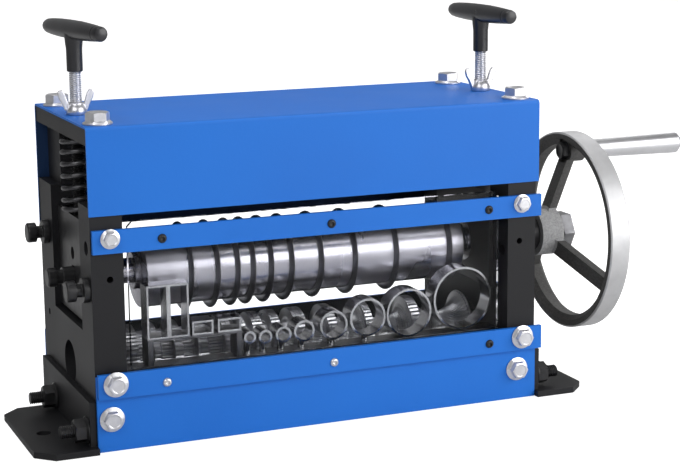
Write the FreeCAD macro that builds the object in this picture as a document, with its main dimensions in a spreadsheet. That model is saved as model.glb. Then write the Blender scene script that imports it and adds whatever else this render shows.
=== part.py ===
import FreeCAD, Part
import Sketcher
import os
import re

os.makedirs("parts", exist_ok=True)
doc = FreeCAD.newDocument("WireStripper")
sheet = doc.addObject("Spreadsheet::Sheet", "Size")

# Driving dimensions, millimetres and degrees. Origin: midway between the two
# bench bolt holes, on the floor. X runs along the rollers, Y to the back.
SIZES = [
    ("fit_gap", "0.05", "radial running and sliding fits"),
    ("frame_width", "298", "over the outer faces of the end plates"),
    ("plate_thick", "20", "end plate"),
    ("plate_front", "-39", "front face of the end plates"),
    ("plate_rear", "89", "rear face of the end plates"),
    ("plate_top", "186.5", "top of the two legs of an end plate"),
    ("mid_depth", "21.5", "plane of both roller axes and the feed screws"),
    ("feed_height", "41.6", "axis of the lower feed roller"),
    ("cut_height", "97", "axis of the blade shaft, lowered"),
    ("slot_width", "70", "open slot that guides a bearing block"),
    ("slot_drop", "26.7", "slot floor under the blade shaft"),
    ("shoulder_drop", "37", "outside step on the legs, under their tops"),
    ("shoulder_depth", "7", "depth of that step"),
    ("bearing_outer", "28", "ball bearing outer diameter"),
    ("bearing_bore", "12", "ball bearing bore"),
    ("bearing_wide", "8", "ball bearing width"),
    ("bearing_set", "1", "lower bearing behind the inner face of its plate"),
    ("leg_hole", "8.8", "open hole in the front legs"),
    ("leg_hole_set", "10", "that hole behind the front face"),
    ("leg_hole_height", "124", "that hole above the floor"),
    ("oil_hole", "4.6", "small hole in the rear legs"),
    ("oil_hole_set", "15.5", "that hole before the rear face"),
    ("oil_hole_height", "63", "that hole above the floor"),
    ("collar_bolt", "8", "black collar bolts on the left legs"),
    ("front_collar_set", "8.5", "front collar bolt behind the front face"),
    ("front_collar_height", "99", "front collar bolt"),
    ("rear_collar_set", "19.5", "rear collar bolt before the rear face"),
    ("rear_collar_height", "117", "rear collar bolt"),
    ("dowel_hole", "4", "small hole in the front faces"),
    ("dowel_height", "105.8", "that hole above the floor"),
    ("tap_depth", "16", "depth of the threaded holes"),
    ("bridge_thick", "10", "plate across the leg tops"),
    ("bridge_wide", "29", "width of that plate"),
    ("cover_over", "1", "cover past each end plate"),
    ("cover_shift", "0.5", "cover off the centre, towards the handwheel"),
    ("cover_sheet", "1.5", "cover sheet thickness"),
    ("cover_bend", "2.5", "outside bend radius"),
    ("front_skirt", "53.3", "height of the front skirt"),
    ("rear_skirt", "83", "height of the rear skirt"),
    ("column_inset", "10", "feed screws inside the outer faces of the plates"),
    ("bolt_reach", "50", "cover bolts from the centre plane"),
    ("bar_over", "1", "front bars past each end plate"),
    ("bar_thick", "3", "front bars"),
    ("bar_shift", "1.8", "front bars off the centre, towards the handwheel"),
    ("upper_bar_low", "122.1", "lower edge of the upper bar"),
    ("upper_bar_tall", "14.2", "height of the upper bar"),
    ("lower_bar_low", "33.5", "lower edge of the lower bar"),
    ("lower_bar_tall", "15.2", "height of the lower bar"),
    ("bolt_inset", "11.5", "bar and panel bolts inside the outer faces"),
    ("upper_bolt_rise", "9", "upper bar bolts above the bar's lower edge"),
    ("lower_bolt_rise", "8.9", "lower bar bolts above the bar's lower edge"),
    ("panel_bolt_height", "20.2", "lower panel bolts"),
    ("panel_bolt_shift", "-2.3", "lower panel bolts off the centre"),
    ("rear_bolt_edge", "8", "rear panel bolts from the panel's edges"),
    ("panel_sheet", "2", "lower front and rear panels"),
    ("panel_short", "0.2", "lower front panel short of each outer face"),
    ("panel_tall", "47", "lower front and rear panels"),
    ("window_inset_left", "3", "window's left edge inside the left end plate"),
    ("window_inset_right", "7", "window's right edge inside the right end plate"),
    ("window_tuck", "3.1", "window's lower edge above the lower edge of its bar"),
    ("window_over", "3.5", "window above the upper bar"),
    ("window_thick", "3", "clear plate"),
    ("window_corner", "3", "corner radius"),
    ("screw_inset_left", "20.5", "left window screws from the window's edge"),
    ("middle_screw_shift", "6", "middle window screws off the window's middle"),
    ("screw_inset_right", "8.5", "right window screws from the window's edge"),
    ("screw_rise", "6.7", "window screws above the lower edge of their bar"),
    ("window_screw", "4", "window screws"),
    ("screw_play", "0.2", "screws and bolts in their holes"),
    ("rail_rise", "3.4", "top of the guide rail above the feed roller axis"),
    ("rail_tall", "8", "height of the guide rail"),
    ("guide_stand", "44", "front ends of the guides before the roller axes"),
    ("guide_length", "13", "length of every guide"),
    ("guide_wall", "1.4", "guide wall"),
    ("post_diameter", "4.4", "posts under the guides"),
    ("shelf_rise", "16.6", "shelf of the flat cable guides above the rail"),
    ("shelf_thick", "1.5", "shelf"),
    ("shelf_left", "-111", "left end of the shelf"),
    ("shelf_right", "-49.5", "right end of the shelf"),
    ("shelf_leg", "3.7", "legs of the shelf"),
    ("tall_guide_tall", "34", "tall flat cable guides"),
    ("low_guide_tall", "9", "low flat cable guides"),
    ("roller_radius", "20", "feed roller ridges"),
    ("roller_gap", "5", "feed roller short of the end plates"),
    ("groove_margin", "0.8", "groove radius under the guide bore radius"),
    ("flat_groove", "5", "depth of the flat cable grooves"),
    ("blade_radius", "28.5", "slitting blades"),
    ("blade_thick", "3.2", "slitting blades"),
    ("blade_bevel", "4", "height of the ground bevel"),
    ("edge_width", "0.5", "land at the cutting edge"),
    ("spacer_radius", "24", "sleeves between the blades"),
    ("shaft_diameter", "16", "blade shaft under the sleeves"),
    ("stack_left", "-104", "left end of the blade stack"),
    ("stack_right", "115", "right end of the blade stack"),
    ("slide_gap", "0.3", "bearing block in its slot"),
    ("block_rest", "2", "lowered block above its slot floor"),
    ("block_rise", "39", "top of the bearing blocks above the shaft"),
    ("block_inset", "4", "bearing blocks inside the outer faces of the plates"),
    ("lip_gap", "0.15", "behind the inner lip of a block"),
    ("lip_thick", "3.25", "that lip"),
    ("lip_reach", "5", "lip over each slot edge"),
    ("spring_outer", "22.8", "springs over the feed screws"),
    ("spring_wire", "3.4", "spring wire"),
    ("spring_turns", "6.5", "turns"),
    ("feed_screw", "8", "feed screws"),
    ("screw_clear", "0.4", "feed screws in the holes that they pass"),
    ("screw_above", "10", "lower end of the feed screws above the blade shaft"),
    ("sleeve_rise", "38", "lower end of the grip sleeve above the plates"),
    ("grip_rise", "64.3", "grip bar axis above the plates"),
    ("grip_length", "88", "grip bar"),
    ("grip_diameter", "10.5", "grip bar at its middle"),
    ("grip_end", "8.8", "grip bar near its ends"),
    ("sleeve_wall", "0.95", "wall of the grip sleeve"),
    ("left_grip_turn", "8", "turn of the left grip as set"),
    ("wing_wall", "2.1", "wall of the wing nut hub"),
    ("wing_thick", "2.8", "wings"),
    ("shaft_out", "13", "blade shaft past the left end plate"),
    ("wheel_radius", "68.4", "handwheel"),
    ("rim_thick", "8.4", "rim, inside to outside"),
    ("rim_wide", "14.5", "polished face of the rim"),
    ("wheel_stand", "53.5", "rim past the right end plate"),
    ("rim_edge", "0.8", "broken edges of the rim"),
    ("rim_slope", "3.5", "taper inside the rim"),
    ("hub_stand", "31", "hub past the right end plate"),
    ("hub_long", "16.3", "hub, end to end"),
    ("hub_diameter", "32", "hub"),
    ("collar_radius", "12", "drive collar"),
    ("spoke_width", "11", "spokes"),
    ("spoke_thick", "6", "spokes"),
    ("spoke_set", "6.5", "spokes behind the left face of the hub"),
    ("spoke_lean", "2.8", "spokes behind the right face of the rim"),
    ("boss_diameter", "16", "boss for the crank pin"),
    ("boss_set", "3", "spot face of the boss behind the rim's left face"),
    ("crank_inset", "12.4", "crank pin inside the rim's outer face"),
    ("pin_diameter", "8", "crank pin"),
    ("pin_head", "5", "hexagon head of the crank pin"),
    ("washer_thick", "2", "handwheel washer"),
    ("nut_thick", "8", "handwheel nut"),
    ("grip_gap", "0.5", "crank grip beside the rim"),
    ("crank_long", "80.8", "crank grip"),
    ("foot_reach", "38", "horizontal leaf of a foot"),
    ("foot_thick", "4", "foot steel"),
    ("foot_front", "-45.5", "front end of the horizontal leaf"),
    ("foot_rear", "60.5", "rear end of the horizontal leaf"),
    ("foot_corner", "11", "cut corners"),
    ("leaf_front", "-39", "front end of the vertical leaf"),
    ("leaf_rear", "82.5", "rear end of the vertical leaf"),
    ("leaf_tall", "31.5", "vertical leaf"),
    ("foot_hole_out", "23.7", "bench bolt holes past the end plates"),
    ("foot_hole", "9", "bench bolt holes"),
    ("foot_hole_depth", "0", "bench bolt holes along the depth"),
    ("foot_bolt_front", "-31", "front foot bolts"),
    ("foot_bolt_rear", "49.5", "rear foot bolts"),
    ("foot_bolt_height", "12.6", "foot bolts above the floor"),
    ("foot_stud", "17", "foot bolts past the vertical leaf"),
    ("stud_diameter", "8", "foot bolts and cover bolts"),
    ("bar_bolt", "6", "bar and panel bolts"),
    ("flange_big", "18", "flange of the cover bolts"),
    ("flange_rise", "2", "flange of the cover bolts, height"),
    ("hexagon_big", "13", "cover, foot and crank pin hexagons, across flats"),
    ("cover_head", "7.5", "head height of the cover bolts"),
    ("upper_flange", "12", "flange of the upper bar bolts"),
    ("upper_hexagon", "10", "upper bar bolts, across flats"),
    ("upper_head", "4.6", "head height of the upper bar bolts"),
    ("lower_flange", "16", "flange of the lower bar and panel bolts"),
    ("lower_hexagon", "12", "lower bar and panel bolts, across flats"),
    ("lower_head", "6", "head height of the lower bar and panel bolts"),
    ("bolt_flange_rise", "1.6", "flange height of the bar, panel and foot bolts"),
    ("foot_flange", "17", "flange of the foot bolts"),
    ("foot_head", "8", "head height of the foot bolts"),
    ("foot_shank", "27", "foot bolts under the head"),
    ("screw_head", "7", "window screw heads"),
    ("screw_socket", "3", "raised middle of the window screw heads"),
    ("screw_head_tall", "1.2", "height of the window screw heads"),
    ("window_screw_long", "8", "upper window screws under the head"),
    ("collar_head", "7.7", "collar bolt flange radius"),
    ("collar_neck", "4", "collar bolt neck radius and flange thickness"),
    ("collar_end", "6.4", "collar bolt end radius"),
    ("collar_long", "14", "collar bolts past the plate"),
    ("collar_shank", "2.9", "collar bolt shank radius"),
    ("collar_depth", "12", "collar bolts inside the plate"),
    ("flat_groove_short", "4", "flat cable grooves narrower than their guide"),
    ("roller_edge", "1", "broken edges of the feed roller"),
    ("shaft_play", "0.3", "blade shaft shoulders beside the bearing blocks"),
    ("shaft_edge", "0.8", "broken end of the blade shaft"),
    ("ring_groove", "1.5", "depth of the groove near the left shaft end"),
    ("ring_groove_wide", "4", "width of that groove"),
    ("ring_groove_set", "5.8", "that groove behind the shaft end"),
    ("stack_flange", "4", "flange that the blade stack stands against"),
    ("lock_nut_thick", "7", "lock nut of the blade stack"),
    ("lock_nut_flats", "24", "lock nut and handwheel nut, across flats"),
    ("washer_diameter", "23", "handwheel washer"),
    ("shaft_tip", "1", "blade shaft past the handwheel nut"),
    ("collar_gap", "0.5", "drive collar beside the bearing block"),
    ("rim_root", "2", "spoke ends inside the rim"),
    ("pin_gap", "0.5", "crank pin in the end of its grip"),
    ("pin_play", "0.1", "crank grip on its pin"),
    ("crank_bore_end", "9.5", "solid end of the crank grip"),
    ("crank_root", "5.7", "crank grip radius at its root"),
    ("crank_neck", "6.2", "crank grip radius beside its root"),
    ("crank_edge", "1", "chamfer at the root of the crank grip"),
    ("crank_wide", "7.5", "largest radius of the crank grip"),
    ("crank_cone", "4.8", "cone at the end of the crank grip"),
    ("crank_tip", "2.6", "radius of the flat end of the crank grip"),
    ("screw_tip", "1", "chamfer at the lower end of the feed screws"),
    ("sleeve_blind", "8", "feed screws end under the grip bar axis"),
    ("grip_swell", "9", "half length of the thick middle of the grip bar"),
    ("grip_taper", "5", "fall from that middle to the bar"),
    ("grip_round", "2.2", "rounded ends of the grip bar"),
    ("wing_hub_tall", "7.5", "wing nut hub"),
    ("wing_foot", "1", "wings above the underside of the wing nut"),
    ("wing_reach", "5", "root of a wing's outer edge past the hub"),
    ("wing_tall", "15.6", "wing nut"),
]

# Places and sizes that follow from them.
FOLLOWS = {
    "plate_inner": "frame_width / 2 - plate_thick",
    "slot_floor": "cut_height - slot_drop",
    "journal_diameter": "bearing_bore - 2 * fit_gap",
    "cover_width": "frame_width + 2 * cover_over",
    "cover_top": "plate_top + bridge_thick + cover_sheet",
    "column_offset": "frame_width / 2 - column_inset",
    "bar_length": "frame_width + 2 * bar_over",
    "bar_bolt_offset": "frame_width / 2 - bolt_inset",
    "upper_bolt_height": "upper_bar_low + upper_bolt_rise",
    "lower_bolt_height": "lower_bar_low + lower_bolt_rise",
    "panel_length": "frame_width - 2 * panel_short",
    "window_left": "window_inset_left - plate_inner",
    "window_right": "plate_inner - window_inset_right",
    "window_low": "lower_bar_low + window_tuck",
    "window_high": "upper_bar_low + upper_bar_tall + window_over",
    "screw_left": "window_left + screw_inset_left",
    "screw_middle": "(window_left + window_right) / 2 + middle_screw_shift",
    "screw_right": "window_right - screw_inset_right",
    "upper_screw_height": "upper_bar_low + screw_rise",
    "lower_screw_height": "lower_bar_low + 6.7",
    "rail_top": "feed_height + rail_rise",
    "guide_mouth": "mid_depth - guide_stand",
    "shelf_top": "rail_top + shelf_rise",
    "tall_guide_high": "shelf_top + tall_guide_tall",
    "low_guide_high": "shelf_top + low_guide_tall",
    "roller_half": "plate_inner - roller_gap",
    "block_width": "slot_width - 2 * slide_gap",
    "block_low": "slot_floor + block_rest",
    "block_high": "cut_height + block_rise",
    "block_outer": "frame_width / 2 - block_inset",
    "block_lip": "plate_inner - lip_gap",
    "block_inner": "block_lip - lip_thick",
    "feed_hole": "feed_screw + 2 * screw_clear",
    "screw_low": "cut_height + screw_above",
    "grip_sleeve_low": "plate_top + sleeve_rise",
    "grip_height": "plate_top + grip_rise",
    "grip_sleeve": "feed_screw + 2 * sleeve_wall",
    "wing_hub": "feed_hole + 2 * wing_wall",
    "shaft_left": "frame_width / 2 + shaft_out",
    "rim_inner": "wheel_radius - rim_thick",
    "rim_left": "frame_width / 2 + wheel_stand",
    "rim_right": "rim_left + rim_wide",
    "hub_left": "frame_width / 2 + hub_stand",
    "hub_right": "hub_left + hub_long",
    "spoke_root": "hub_left + spoke_set",
    "spoke_tip": "rim_right - spoke_thick - spoke_lean",
    "boss_left": "rim_left + boss_set",
    "crank_radius": "wheel_radius - crank_inset",
    "crank_left": "rim_right + grip_gap",
    "crank_right": "crank_left + crank_long",
}
for row, (alias, number, note) in enumerate(SIZES, 1):
    sheet.set(f"A{row}", note)
    sheet.set(f"B{row}", number)
    sheet.setAlias(f"B{row}", alias)
doc.recompute()

# One channel each: position along the rollers, guide axis above the feed roller
# axis, and outer diameter of the guide tube.
TUBES = [
    ("-44.4", "14.9", "8.0"),
    ("-34.0", "14.2", "9.0"),
    ("-21.8", "14.4", "10.6"),
    ("-7.7", "15.3", "14.0"),
    ("12.6", "17.0", "19.0"),
    ("36.3", "19.6", "25.0"),
    ("65.6", "19.7", "32.0"),
    ("104.3", "25.6", "42.0"),
]
FLATS = [("-75.2", "14"), ("-57.7", "15.5")]
TALLS = [("-104", "14"), ("-90.4", "13.2")]
BLADES = [place for place, wide in FLATS] + [place for place, rise, outer in TUBES]

nodes = []


def bound(text):
    def named(found):
        word = found.group()
        return f"({bound(FOLLOWS[word])})" if word in FOLLOWS else "Size." + word

    return re.sub(r"[a-z][a-z_]{3,}", named, text)


def value(text):
    return float(sheet.evalExpression(bound(text)))


def tie(item, **texts):
    for name, text in texts.items():
        item.setExpression(name.replace("__", "."), bound(text))


def put(item, x="0", y="0", z="0", axis=(0, 0, 1), degrees=0):
    turn = FreeCAD.Rotation(FreeCAD.Vector(*axis), degrees)
    item.Placement = FreeCAD.Placement(FreeCAD.Vector(), turn)
    for letter, text in zip("xyz", (x, y, z)):
        item.setExpression(f"Placement.Base.{letter}", bound(text))
    return item


def node(item, label):
    item.Label = label
    nodes.append(item)
    return item


def body(label, x="0", y="0", z="0", axis=(0, 0, 1), degrees=0):
    return node(put(doc.addObject("PartDesign::Body", label), x, y, z, axis, degrees), label)


def sketch(owner, role, lift="0"):
    made = owner.newObject("Sketcher::SketchObject", owner.Name + "Sketch")
    plane = [item for item in owner.Origin.OriginFeatures if item.Role == role][0]
    made.AttachmentSupport = [(plane, "")]
    made.MapMode = "FlatFace"
    made.setExpression("AttachmentOffset.Base.z", bound(lift))
    return made


def outline(drawing, points):
    numbers = [(value(across), value(up)) for across, up in points]
    first = drawing.GeometryCount
    count = len(points)
    for index, start in enumerate(numbers):
        finish = numbers[(index + 1) % count]
        line = Part.LineSegment(FreeCAD.Vector(*start, 0), FreeCAD.Vector(*finish, 0))
        drawing.addGeometry(line, False)
    for index in range(count):
        follow = first + (index + 1) % count
        drawing.addConstraint(Sketcher.Constraint("Coincident", first + index, 2, follow, 1))
    for index, point in enumerate(points):
        for kind, text, number in zip(("DistanceX", "DistanceY"), point, numbers[index]):
            rule = Sketcher.Constraint(kind, -1, 1, first + index, 1, number)
            place = drawing.addConstraint(rule)
            drawing.setExpression(f"Constraints[{place}]", bound(text))
    return drawing


def circles(drawing, holes):
    for across, up, wide in holes:
        centre = FreeCAD.Vector(value(across), value(up), 0)
        ring = Part.Circle(centre, FreeCAD.Vector(0, 0, 1), value(wide) / 2)
        index = drawing.addGeometry(ring, False)
        for kind, text, number in (("DistanceX", across, centre.x), ("DistanceY", up, centre.y)):
            place = drawing.addConstraint(Sketcher.Constraint(kind, -1, 1, index, 3, number))
            drawing.setExpression(f"Constraints[{place}]", bound(text))
        place = drawing.addConstraint(Sketcher.Constraint("Diameter", index, value(wide)))
        drawing.setExpression(f"Constraints[{place}]", bound(wide))
    return drawing


def pad(owner, drawing, length, reverse=False):
    made = owner.newObject("PartDesign::Pad", owner.Name + "Pad")
    made.Profile = drawing
    made.Reversed = reverse
    tie(made, Length=length)
    owner.Tip = made
    return made


def pocket(owner, drawing, length=None, reverse=False):
    made = owner.newObject("PartDesign::Pocket", owner.Name + "Pocket")
    made.Profile = drawing
    made.Reversed = reverse
    if length is None:
        made.Type = "ThroughAll"
    else:
        tie(made, Length=length)
    owner.Tip = made
    return made


def revolve(owner, drawing, reference, cut=False):
    kind = "Groove" if cut else "Revolution"
    made = owner.newObject("PartDesign::" + kind, owner.Name + kind)
    made.Profile = drawing
    made.ReferenceAxis = (drawing, [reference])
    made.Angle = 360
    owner.Tip = made
    return made


def turned(label, points, way, **places):
    made = body(label, **places)
    if way == "z":
        swapped = [(radius, along) for along, radius in points]
        revolve(made, outline(sketch(made, "XZ_Plane"), swapped), "V_Axis")
    else:
        role = "XY_Plane" if way == "x" else "YZ_Plane"
        revolve(made, outline(sketch(made, role), points), "H_Axis")
    return made


def repeated(owner, original, count):
    made = owner.newObject("PartDesign::PolarPattern", owner.Name + "Pattern")
    made.Originals = [original]
    axis = [item for item in owner.Origin.OriginFeatures if item.Role == "X_Axis"][0]
    made.Axis = (axis, [""])
    made.Angle = 360
    made.Occurrences = count
    owner.Tip = made
    return made


def mirrored(source, label):
    made = doc.addObject("Part::Mirroring", label)
    made.Source = source
    made.Normal = FreeCAD.Vector(1, 0, 0)
    return node(made, label)


def rectangle(left, low, right, high):
    return [(left, low), (right, low), (right, high), (left, high)]


def ring(left, right, inner, outer):
    return [(left, inner), (right, inner), (right, outer), (left, outer)]


# End plates: thick steel, two legs around an open slot, stepped outside.
plate = doc.addObject("PartDesign::Body", "PlateBlank")
put(plate, x="-frame_width / 2")
slot_front = "mid_depth - slot_width / 2"
slot_back = "mid_depth + slot_width / 2"
pad(plate, outline(sketch(plate, "YZ_Plane"), [
    ("plate_front", "0"), ("plate_rear", "0"), ("plate_rear", "plate_top"),
    (slot_back, "plate_top"), (slot_back, "slot_floor"),
    (slot_front, "slot_floor"), (slot_front, "plate_top"), ("plate_front", "plate_top"),
]), "plate_thick")
step = rectangle("plate_front - 1", "plate_top - shoulder_drop", "plate_rear + 1", "plate_top + 1")
pocket(plate, outline(sketch(plate, "YZ_Plane"), step), "shoulder_depth", reverse=True)
pocket(plate, circles(sketch(plate, "YZ_Plane"), [
    ("mid_depth", "feed_height", "bearing_outer"),
    ("plate_front + leg_hole_set", "leg_hole_height", "leg_hole"),
    ("plate_rear - oil_hole_set", "oil_hole_height", "oil_hole"),
    ("plate_front + front_collar_set", "front_collar_height", "collar_bolt"),
    ("plate_rear - rear_collar_set", "rear_collar_height", "collar_bolt"),
    ("foot_bolt_front", "foot_bolt_height", "stud_diameter + 2 * screw_play"),
    ("foot_bolt_rear", "foot_bolt_height", "stud_diameter + 2 * screw_play"),
]), reverse=True)
bolt_across = "frame_width / 2 - bar_bolt_offset"
pocket(plate, circles(sketch(plate, "XZ_Plane", "-plate_front"), [
    (bolt_across, "upper_bolt_height", "bar_bolt + screw_play"),
    (bolt_across, "lower_bolt_height", "bar_bolt + screw_play"),
    (bolt_across, "dowel_height", "dowel_hole"),
]), "tap_depth")
pocket(plate, circles(sketch(plate, "XZ_Plane", "-plate_rear"), [
    (bolt_across, "panel_tall - rear_bolt_edge", "bar_bolt + screw_play"),
    (bolt_across, "rear_bolt_edge", "bar_bolt + screw_play"),
]), "tap_depth", reverse=True)
plate_other = doc.addObject("Part::Mirroring", "PlateBlankRight")
plate_other.Source = plate
plate_other.Normal = FreeCAD.Vector(1, 0, 0)
for side, sign, blank in (("left", "-", plate), ("right", "", plate_other)):
    drill = doc.addObject("Part::Cylinder", "PanelDrill")
    tie(drill, Radius="(bar_bolt + screw_play) / 2", Height="tap_depth")
    put(drill, f"panel_bolt_shift + ({sign}bar_bolt_offset)", "plate_front",
        "panel_bolt_height", (1, 0, 0), -90)
    drilled = doc.addObject("Part::Cut", f"end_plate_{side}")
    drilled.Base = blank
    drilled.Tool = drill
    node(drilled, f"end_plate_{side}")

# Bridge plates: welded across the leg tops, carry the feed screws.
bridge = body("bridge_plate_left", x="-frame_width / 2", z="plate_top")
pad(bridge, outline(sketch(bridge, "XY_Plane"),
    rectangle("0", "plate_front", "bridge_wide", "plate_rear")), "bridge_thick")
column_across = "frame_width / 2 - column_offset"
column_holes = [
    (column_across, "mid_depth - bolt_reach", "stud_diameter + screw_play"),
    (column_across, "mid_depth + bolt_reach", "stud_diameter + screw_play"),
    (column_across, "mid_depth", "feed_hole"),
]
pocket(bridge, circles(sketch(bridge, "XY_Plane"), column_holes), reverse=True)
mirrored(bridge, "bridge_plate_right")

# Top cover: one folded sheet, short skirt in front, deep skirt behind.
cover = body("top_cover", x="cover_shift - cover_width / 2")
front_out = "plate_front - cover_sheet"
rear_out = "plate_rear + cover_sheet"
cover_front = "cover_top - front_skirt"
cover_rear = "cover_top - rear_skirt"
pad(cover, outline(sketch(cover, "YZ_Plane"), [
    (front_out, cover_front), ("plate_front", cover_front),
    ("plate_front", "plate_top + bridge_thick"), ("plate_rear", "plate_top + bridge_thick"),
    ("plate_rear", cover_rear), (rear_out, cover_rear),
    (rear_out, "cover_top - cover_bend"),
    (rear_out + " - cover_bend * 0.293", "cover_top - cover_bend * 0.293"),
    (rear_out + " - cover_bend", "cover_top"), (front_out + " + cover_bend", "cover_top"),
    (front_out + " + cover_bend * 0.293", "cover_top - cover_bend * 0.293"),
    (front_out, "cover_top - cover_bend"),
]), "cover_width")
cover_left = "cover_width / 2 - cover_shift - column_offset"
cover_right = "cover_width / 2 - cover_shift + column_offset"
pocket(cover, circles(sketch(cover, "XY_Plane", "cover_top"), [
    (across, along, wide)
    for across in (cover_left, cover_right)
    for unused, along, wide in column_holes
]), "cover_sheet + 1")

# Front bars, lower panel and rear panel.
screw_places = ["screw_left", "screw_middle", "screw_right"]
bar_ends = ["-bar_bolt_offset", "bar_bolt_offset"]
panel_ends = [f"panel_bolt_shift + ({place})" for place in bar_ends]
for label, low, tall, rear, bolt_height, screw_height in [
    ("upper_front_bar", "upper_bar_low", "upper_bar_tall", "plate_front",
     "upper_bolt_height", "upper_screw_height"),
    ("lower_front_bar", "lower_bar_low", "lower_bar_tall", "plate_front - panel_sheet",
     "lower_bolt_height", "lower_screw_height"),
]:
    bar = body(label, y=rear)
    pad(bar, outline(sketch(bar, "XZ_Plane"),
        rectangle("bar_shift - bar_length / 2", low, "bar_shift + bar_length / 2",
                  f"{low} + {tall}")), "bar_thick")
    pocket(bar, circles(sketch(bar, "XZ_Plane"),
        [(place, bolt_height, "bar_bolt + 2 * screw_play") for place in bar_ends]
        + [(place, screw_height, "window_screw + screw_play") for place in screw_places]),
        reverse=True)

panel = body("lower_front_panel", y="plate_front")
pad(panel, outline(sketch(panel, "XZ_Plane"),
    rectangle("-panel_length / 2", "0", "panel_length / 2", "panel_tall")), "panel_sheet")
pocket(panel, circles(sketch(panel, "XZ_Plane"),
    [(place, "lower_bolt_height", "bar_bolt + 2 * screw_play") for place in bar_ends]
    + [(place, "panel_bolt_height", "bar_bolt + 2 * screw_play") for place in panel_ends]
    + [(place, "lower_screw_height", "window_screw + screw_play") for place in screw_places]),
    reverse=True)

back = body("rear_lower_panel", y="plate_rear + panel_sheet")
pad(back, outline(sketch(back, "XZ_Plane"),
    rectangle("-frame_width / 2", "0", "frame_width / 2", "panel_tall")), "panel_sheet")
pocket(back, circles(sketch(back, "XZ_Plane"),
    [(place, height, "bar_bolt + 2 * screw_play")
     for place in bar_ends for height in ("panel_tall - rear_bolt_edge", "rear_bolt_edge")]),
    reverse=True)

# Window: clear plate behind both bars, rounded corners.
window = body("front_window", y="plate_front + window_thick")
pad(window, outline(sketch(window, "XZ_Plane"), [
    ("window_left + window_corner", "window_low"), ("window_right - window_corner", "window_low"),
    ("window_right", "window_low + window_corner"), ("window_right", "window_high - window_corner"),
    ("window_right - window_corner", "window_high"), ("window_left + window_corner", "window_high"),
    ("window_left", "window_high - window_corner"), ("window_left", "window_low + window_corner"),
]), "window_thick")
pocket(window, circles(sketch(window, "XZ_Plane"),
    [(place, height, "window_screw + screw_play") for place in screw_places
     for height in ("upper_screw_height", "lower_screw_height")]), reverse=True)


# Screws and bolts: turned shank and head, hexagon as a prism.
def bolt(label, flange, flange_high, across_flats, head_high, shank, length):
    made = put(doc.addObject("Part::MultiFuse", label))
    stem = doc.addObject("Part::Cylinder", label + "Stem")
    tie(stem, Radius=f"({shank}) / 2", Height=length)
    put(stem, z=f"-({length})")
    disc = doc.addObject("Part::Cone", label + "Disc")
    tie(disc, Radius1=f"({flange}) / 2", Radius2=f"({across_flats}) / 2", Height=flange_high)
    head = doc.addObject("Part::Prism", label + "Head")
    tie(head, Circumradius=f"({across_flats}) * 0.57735", Height=head_high)
    made.Shapes = [stem, disc, head]
    return made


def placed(label, master, places, axis=(0, 0, 1), degrees=0):
    copies = []
    for x, y, z in places:
        copy = doc.addObject("App::Link", label + "Copy")
        copy.setLink(master)
        copy.LinkTransform = True
        turn = FreeCAD.Rotation(FreeCAD.Vector(*axis), degrees)
        spot = FreeCAD.Vector(value(x), value(y), value(z))
        copy.Placement = FreeCAD.Placement(spot, turn)
        for letter, text in zip("xyz", (x, y, z)):
            copy.setExpression(f"Placement.Base.{letter}", bound(text))
        copies.append(copy)
    group = doc.addObject("Part::Compound", label)
    group.Links = copies
    return node(group, label)


FRONT = dict(axis=(1, 0, 0), degrees=90)
REAR = dict(axis=(1, 0, 0), degrees=-90)
cover_bolt = bolt("CoverBolt", "flange_big", "flange_rise", "hexagon_big", "cover_head",
                  "stud_diameter", "bridge_thick")
placed("cover_bolts", cover_bolt, [
    (side, f"mid_depth {reach}", "cover_top")
    for side in ("-column_offset", "column_offset")
    for reach in ("- bolt_reach", "+ bolt_reach")
])
upper_bolt = bolt("UpperBolt", "upper_flange", "bolt_flange_rise", "upper_hexagon",
                  "upper_head", "bar_bolt", "tap_depth")
placed("upper_bar_bolts", upper_bolt,
       [(side, "plate_front - bar_thick", "upper_bolt_height") for side in bar_ends], **FRONT)
lower_bolt = bolt("LowerBolt", "lower_flange", "bolt_flange_rise", "lower_hexagon",
                  "lower_head", "bar_bolt", "tap_depth")
placed("lower_bar_bolts", lower_bolt,
       [(side, "plate_front - panel_sheet - bar_thick", "lower_bolt_height") for side in bar_ends],
       **FRONT)
panel_bolt = bolt("PanelBolt", "lower_flange", "bolt_flange_rise", "lower_hexagon",
                  "lower_head", "bar_bolt", "tap_depth - panel_sheet")
placed("panel_bolts", panel_bolt,
       [(side, "plate_front - panel_sheet", "panel_bolt_height") for side in panel_ends], **FRONT)
placed("rear_panel_bolts", panel_bolt,
       [(side, "plate_rear + panel_sheet", height)
        for side in bar_ends for height in ("panel_tall - rear_bolt_edge", "rear_bolt_edge")],
       **REAR)
window_screw = bolt("WindowScrew", "screw_head", "screw_head_tall", "screw_socket",
                    "screw_head_tall", "window_screw", "window_screw_long")
placed("window_screws_upper", window_screw,
       [(place, "plate_front - bar_thick", "upper_screw_height") for place in screw_places], **FRONT)
window_screw_long = bolt("WindowScrewLong", "screw_head", "screw_head_tall", "screw_socket",
                         "screw_head_tall", "window_screw", "window_screw_long + panel_sheet")
placed("window_screws_lower", window_screw_long,
       [(place, "plate_front - panel_sheet - bar_thick", "lower_screw_height")
        for place in screw_places], **FRONT)

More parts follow.
